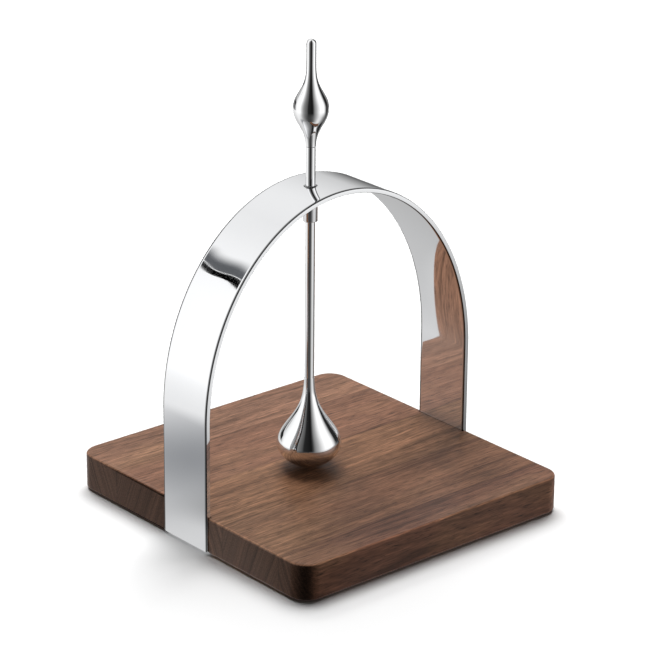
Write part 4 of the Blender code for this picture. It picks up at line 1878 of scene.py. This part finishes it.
@dataclass(frozen=True)
class WavyScreen:
    """A grey screen with a black hem along its wavy lower edge, seen only in the steel.

    Places are (right, up) in metres on a plane that faces the holder.  The hem
    runs from start, swings either side of its run by wave, and is hem_start
    rises wide there.  The cloth hangs one gap above it and reaches on by reach.
    """

    azimuth: float = -147.0
    elevation: float = 28.0
    distance: float = 1.5
    start: Point = (0.047, 0.029)
    run: Point = (0.064, -0.015)
    wave: Point = (0.0105, -0.0155)
    rise: Point = (-0.017, 0.030)
    hem_start: float = 1.4
    hem_growth: float = 1.0
    hem_lead: float = 0.004
    gap: float = 0.22
    reach: Point = (-0.145, 0.172)
    overlap: float = 0.35
    steps: int = 48
    hem_shade: float = 0.002
    screen_shade: float = 0.12

    def edge(self, share: float, lift: float) -> Point:
        """A place on the screen.

        Args:
            share: 0 at the start of the hem and 1 at its end.
            lift: How far up the screen from the middle of the hem.

        Returns:
            The place.
        """
        swing = math.sin(2 * math.pi * min(max(share, -0.1), 1.1))
        along = [
            self.start[axis] + self.run[axis] * share + self.wave[axis] * swing + self.rise[axis] * lift
            for axis in (0, 1)
        ]
        return (along[0], along[1])

    def mesh(self, low: bool) -> bmesh.types.BMesh:
        """The hem, or the screen above it.

        Args:
            low: True for the hem.

        Returns:
            A ribbon whose UV runs from 0 at its lower edge to 1 at its upper edge.
        """
        solid = bmesh.new()
        uv = solid.loops.layers.uv.new("up")
        rows = []
        for step in range(self.steps + 1):
            share = -self.overlap + (1 + 2 * self.overlap) * step / self.steps
            half = (self.hem_start + self.hem_growth * min(max(share, 0.0), 1.2)) / 2
            bottom = self.edge(share, -half if low else half + self.gap)
            top = self.edge(share, half) if low else (bottom[0] + self.reach[0], bottom[1] + self.reach[1])
            nearer = -self.hem_lead if low else 0.0
            rows.append([solid.verts.new((*place, nearer)) for place in (bottom, top)])
        for (low_a, high_a), (low_b, high_b) in zip(rows, rows[1:]):
            face = solid.faces.new((low_a, low_b, high_b, high_a))
            for corner, height in zip(face.loops, (0.0, 0.0, 1.0, 1.0)):
                corner[uv].uv = (0.0, height)
        return solid


@dataclass
class Studio:
    """Floor, white tent, cards and soft lights."""

    centre: Vector = field(default_factory=lambda: Vector((0.0, 0.0, 0.12)))
    tent_radius: float = 4.0
    ambient: float = 0.05
    floor_size: float = 30.0
    floor_shade: float = 0.87
    table_radius: float = 0.84

    def glowing(self, name: str, shade: float, soft_sides: float, soft_ends: float) -> bpy.types.Material:
        """Material of a card: an even glow that fades out at its edges.

        Args:
            name: Name of the material.
            shade: Its brightness.
            soft_sides: Share of the half width over which it fades.
            soft_ends: Share of the half height over which it fades.

        Returns:
            The material.
        """
        material = empty_material(name)
        nodes = material.node_tree.nodes
        links = material.node_tree.links
        place = nodes.new("ShaderNodeTexCoord")
        place.label = "place on the card"
        split = nodes.new("ShaderNodeSeparateXYZ")
        split.label = "across and up"
        side = nodes.new("ShaderNodeMath")
        side.label = "out to either side"
        side.operation = "ABSOLUTE"
        end = nodes.new("ShaderNodeMath")
        end.label = "out to either end"
        end.operation = "ABSOLUTE"
        side_fade = nodes.new("ShaderNodeMapRange")
        side_fade.label = "fade at the sides"
        side_fade.interpolation_type = "SMOOTHSTEP"
        side_fade.inputs["From Min"].default_value = 1.0 - soft_sides
        side_fade.inputs["To Min"].default_value = 1.0
        side_fade.inputs["To Max"].default_value = 0.0
        end_fade = nodes.new("ShaderNodeMapRange")
        end_fade.label = "fade at the ends"
        end_fade.interpolation_type = "SMOOTHSTEP"
        end_fade.inputs["From Min"].default_value = 1.0 - soft_ends
        end_fade.inputs["To Min"].default_value = 1.0
        end_fade.inputs["To Max"].default_value = 0.0
        both = nodes.new("ShaderNodeMath")
        both.label = "both fades"
        both.operation = "MULTIPLY"
        clear = nodes.new("ShaderNodeBsdfTransparent")
        clear.label = "beyond the edge"
        glow = nodes.new("ShaderNodeEmission")
        glow.label = "card"
        glow.inputs["Strength"].default_value = shade
        mixed = nodes.new("ShaderNodeMixShader")
        mixed.label = "card within its edge"
        output = nodes.new("ShaderNodeOutputMaterial")
        output.label = "card surface"
        links.new(place.outputs["Object"], split.inputs[0])
        links.new(split.outputs["X"], side.inputs[0])
        links.new(split.outputs["Y"], end.inputs[0])
        links.new(side.outputs[0], side_fade.inputs["Value"])
        links.new(end.outputs[0], end_fade.inputs["Value"])
        links.new(side_fade.outputs["Result"], both.inputs[0])
        links.new(end_fade.outputs["Result"], both.inputs[1])
        links.new(both.outputs[0], mixed.inputs["Fac"])
        links.new(clear.outputs["BSDF"], mixed.inputs[1])
        links.new(glow.outputs["Emission"], mixed.inputs[2])
        links.new(mixed.outputs["Shader"], output.inputs["Surface"])
        groups = {
            "Fade": [place, split, side, end, side_fade, end_fade, both],
            "Card": [clear, glow, mixed, output],
        }
        lay_out(nodes, groups)
        return material

    def only_reflected(self, item: bpy.types.Object) -> None:
        """Let a piece of the studio show in reflections and nowhere else.

        Args:
            item: The piece.
        """
        item.visible_camera = False
        item.visible_diffuse = False
        item.visible_shadow = False
        item.visible_transmission = False
        item.visible_volume_scatter = False

    def build_tent(self) -> bpy.types.Object:
        """A white tent round everything, seen only in reflections.

        Returns:
            The tent.
        """
        solid = bmesh.new()
        bmesh.ops.create_icosphere(solid, subdivisions=5, radius=self.tent_radius)
        tent = settle("white_tent", solid, 180.0)
        tent.data.materials.append(TentCloth().build())
        self.only_reflected(tent)
        return tent

    def build_card(self, card: ReflectorCard) -> bpy.types.Object:
        """Hang one card in the studio, facing the holder.

        Args:
            card: What and where it is.

        Returns:
            The card.
        """
        solid = bmesh.new()
        corners = ((-1, -1), (1, -1), (1, 1), (-1, 1))
        solid.faces.new([solid.verts.new((x, y, 0.0)) for x, y in corners])
        piece = settle("card_" + card.name, solid)
        piece.data.materials.append(
            self.glowing("card_" + card.name, card.shade, card.soft_sides, card.soft_ends)
        )
        half_width = card.distance * math.tan(math.radians(card.width / 2))
        half_height = card.distance * math.tan(math.radians(card.height / 2))
        place = hung(self.centre, card.azimuth, card.elevation, card.distance)
        piece.matrix_world = place @ Matrix.Diagonal((half_width, half_height, 1.0, 1.0))
        self.only_reflected(piece)
        return piece

    def build_floor(self) -> bpy.types.Object:
        """The white floor, and the greyer table that only the steel sees.

        Returns:
            The white floor.
        """
        solid = bmesh.new()
        bmesh.ops.create_circle(solid, cap_ends=True, segments=96, radius=self.floor_size)
        floor = settle("pale_floor", solid)
        material = empty_material("pale_floor")
        nodes = material.node_tree.nodes
        links = material.node_tree.links
        place = nodes.new("ShaderNodeTexCoord")
        place.label = "place on the floor"
        mottle = nodes.new("ShaderNodeTexNoise")
        mottle.label = "faint unevenness"
        mottle.inputs["Scale"].default_value = 5.0
        tone = nodes.new("ShaderNodeMapRange")
        tone.label = "how much it shows"
        tone.inputs["To Min"].default_value = self.floor_shade * 0.985
        tone.inputs["To Max"].default_value = self.floor_shade
        matt = nodes.new("ShaderNodeBsdfDiffuse")
        matt.label = "matt floor"
        output = nodes.new("ShaderNodeOutputMaterial")
        output.label = "floor"
        links.new(place.outputs["Object"], mottle.inputs["Vector"])
        links.new(mottle.outputs["Fac"], tone.inputs["Value"])
        links.new(tone.outputs["Result"], matt.inputs["Color"])
        links.new(matt.outputs["BSDF"], output.inputs["Surface"])
        lay_out(nodes, {"Floor": [place, mottle, tone, matt, output]})
        floor.data.materials.append(material)
        floor.visible_glossy = False
        floor.visible_diffuse = False

        solid = bmesh.new()
        bmesh.ops.create_circle(solid, cap_ends=True, segments=192, radius=self.table_radius)
        table = settle("seen_table", solid)
        table.data.materials.append(TableTop().build())
        self.only_reflected(table)
        return floor

    def build_screen(self, screen: WavyScreen) -> None:
        """Hang the screen with the wavy black hem.

        Args:
            screen: Its sizes and place.
        """
        place = hung(self.centre, screen.azimuth, screen.elevation, screen.distance)
        for name, low, shade in (
            ("screen_hem", True, screen.hem_shade),
            ("screen_cloth", False, screen.screen_shade),
        ):
            material = empty_material(name)
            nodes = material.node_tree.nodes
            links = material.node_tree.links
            up = nodes.new("ShaderNodeUVMap")
            up.label = "height on the screen"
            up.uv_map = "up"
            split = nodes.new("ShaderNodeSeparateXYZ")
            split.label = "height"
            fade = nodes.new("ShaderNodeMapRange")
            fade.label = "thinner towards the top"
            fade.interpolation_type = "SMOOTHSTEP"
            fade.inputs["From Min"].default_value = 0.30
            fade.inputs["To Max"].default_value = 0.0 if low else 1.0
            glow = nodes.new("ShaderNodeEmission")
            glow.label = "dark cloth"
            glow.inputs["Color"].default_value = (0.94, 0.98, 1.05, 1.0)
            glow.inputs["Strength"].default_value = shade
            clear = nodes.new("ShaderNodeBsdfTransparent")
            clear.label = "seen through"
            mixed = nodes.new("ShaderNodeMixShader")
            mixed.label = "cloth that thins out"
            output = nodes.new("ShaderNodeOutputMaterial")
            output.label = "screen"
            links.new(up.outputs["UV"], split.inputs[0])
            links.new(split.outputs["Y"], fade.inputs["Value"])
            links.new(fade.outputs["Result"], mixed.inputs["Fac"])
            links.new(glow.outputs["Emission"], mixed.inputs[1])
            links.new(clear.outputs["BSDF"], mixed.inputs[2])
            links.new(mixed.outputs["Shader"], output.inputs["Surface"])
            lay_out(nodes, {"Cloth": [up, split, fade, glow, clear, mixed, output]})
            piece = settle(name, screen.mesh(low))
            piece.data.materials.append(material)
            piece.matrix_world = place
            self.only_reflected(piece)

    def build_lights(self, floor: bpy.types.Object) -> None:
        """Soft lights, which light the wood and the floor and don't show in the steel.

        Args:
            floor: The floor, which has a softbox of its own.
        """
        lit = {}
        for for_floor, state in ((True, "INCLUDE"), (False, "EXCLUDE")):
            lit[for_floor] = bpy.data.collections.new("lit_" + state.lower())
            lit[for_floor].objects.link(floor)
            lit[for_floor].collection_objects[0].light_linking.link_state = state
        for box in SOFTBOXES:
            lamp = bpy.data.lights.new(box.name, "AREA")
            lamp.shape = "RECTANGLE"
            lamp.size = box.width
            lamp.size_y = box.height
            lamp.energy = box.power
            holder = bpy.data.objects.new(box.name, lamp)
            bpy.context.scene.collection.objects.link(holder)
            holder.matrix_world = hung(self.centre, box.azimuth, box.elevation, box.distance)
            holder.visible_glossy = False
            holder.visible_camera = False
            holder.light_linking.receiver_collection = lit[box.for_floor]

    def build_world(self) -> None:
        """Even light from all round."""
        world = bpy.data.worlds.new("studio_world")
        bpy.context.scene.world = world
        world.use_nodes = True
        nodes = world.node_tree.nodes
        links = world.node_tree.links
        nodes.clear()
        sky = nodes.new("ShaderNodeBackground")
        sky.label = "even studio light"
        sky.inputs["Color"].default_value = (1.0, 1.0, 1.0, 1.0)
        sky.inputs["Strength"].default_value = self.ambient
        output = nodes.new("ShaderNodeOutputWorld")
        output.label = "studio"
        links.new(sky.outputs["Background"], output.inputs["Surface"])
        lay_out(nodes, {"Studio": [sky, output]})

    def build(self) -> None:
        """Set up the whole studio."""
        scene = bpy.context.scene
        scene.view_settings.view_transform = "Standard"
        scene.view_settings.look = "None"
        self.build_world()
        floor = self.build_floor()
        self.build_tent()
        for card in CARDS:
            self.build_card(card)
        self.build_screen(WavyScreen())
        self.build_lights(floor)
        log.info("studio: %d cards and %d softboxes", len(CARDS), len(SOFTBOXES))


def main() -> None:
    """Build the holder, then the studio and the camera, logging the faces of each new piece."""
    logging.basicConfig(level=logging.INFO, format="%(name)s: %(message)s")
    WalnutBoard().build(WALNUT.build())
    SteelArch().build(STRIP_STEEL.build())
    guide = CrownGuide()
    guide.build_bush(BUSH_STEEL.build())
    guide.build_liner(LINER_POLYMER.build())
    Plunger().build(TURNED_STEEL.build())
    HiddenFixings().build(ZINC_STEEL.build(), INSERT_BRASS.build(), PAD_RUBBER.build())
    Studio().build()
    StudioCamera().build()


if __name__ == "__main__":
    main()
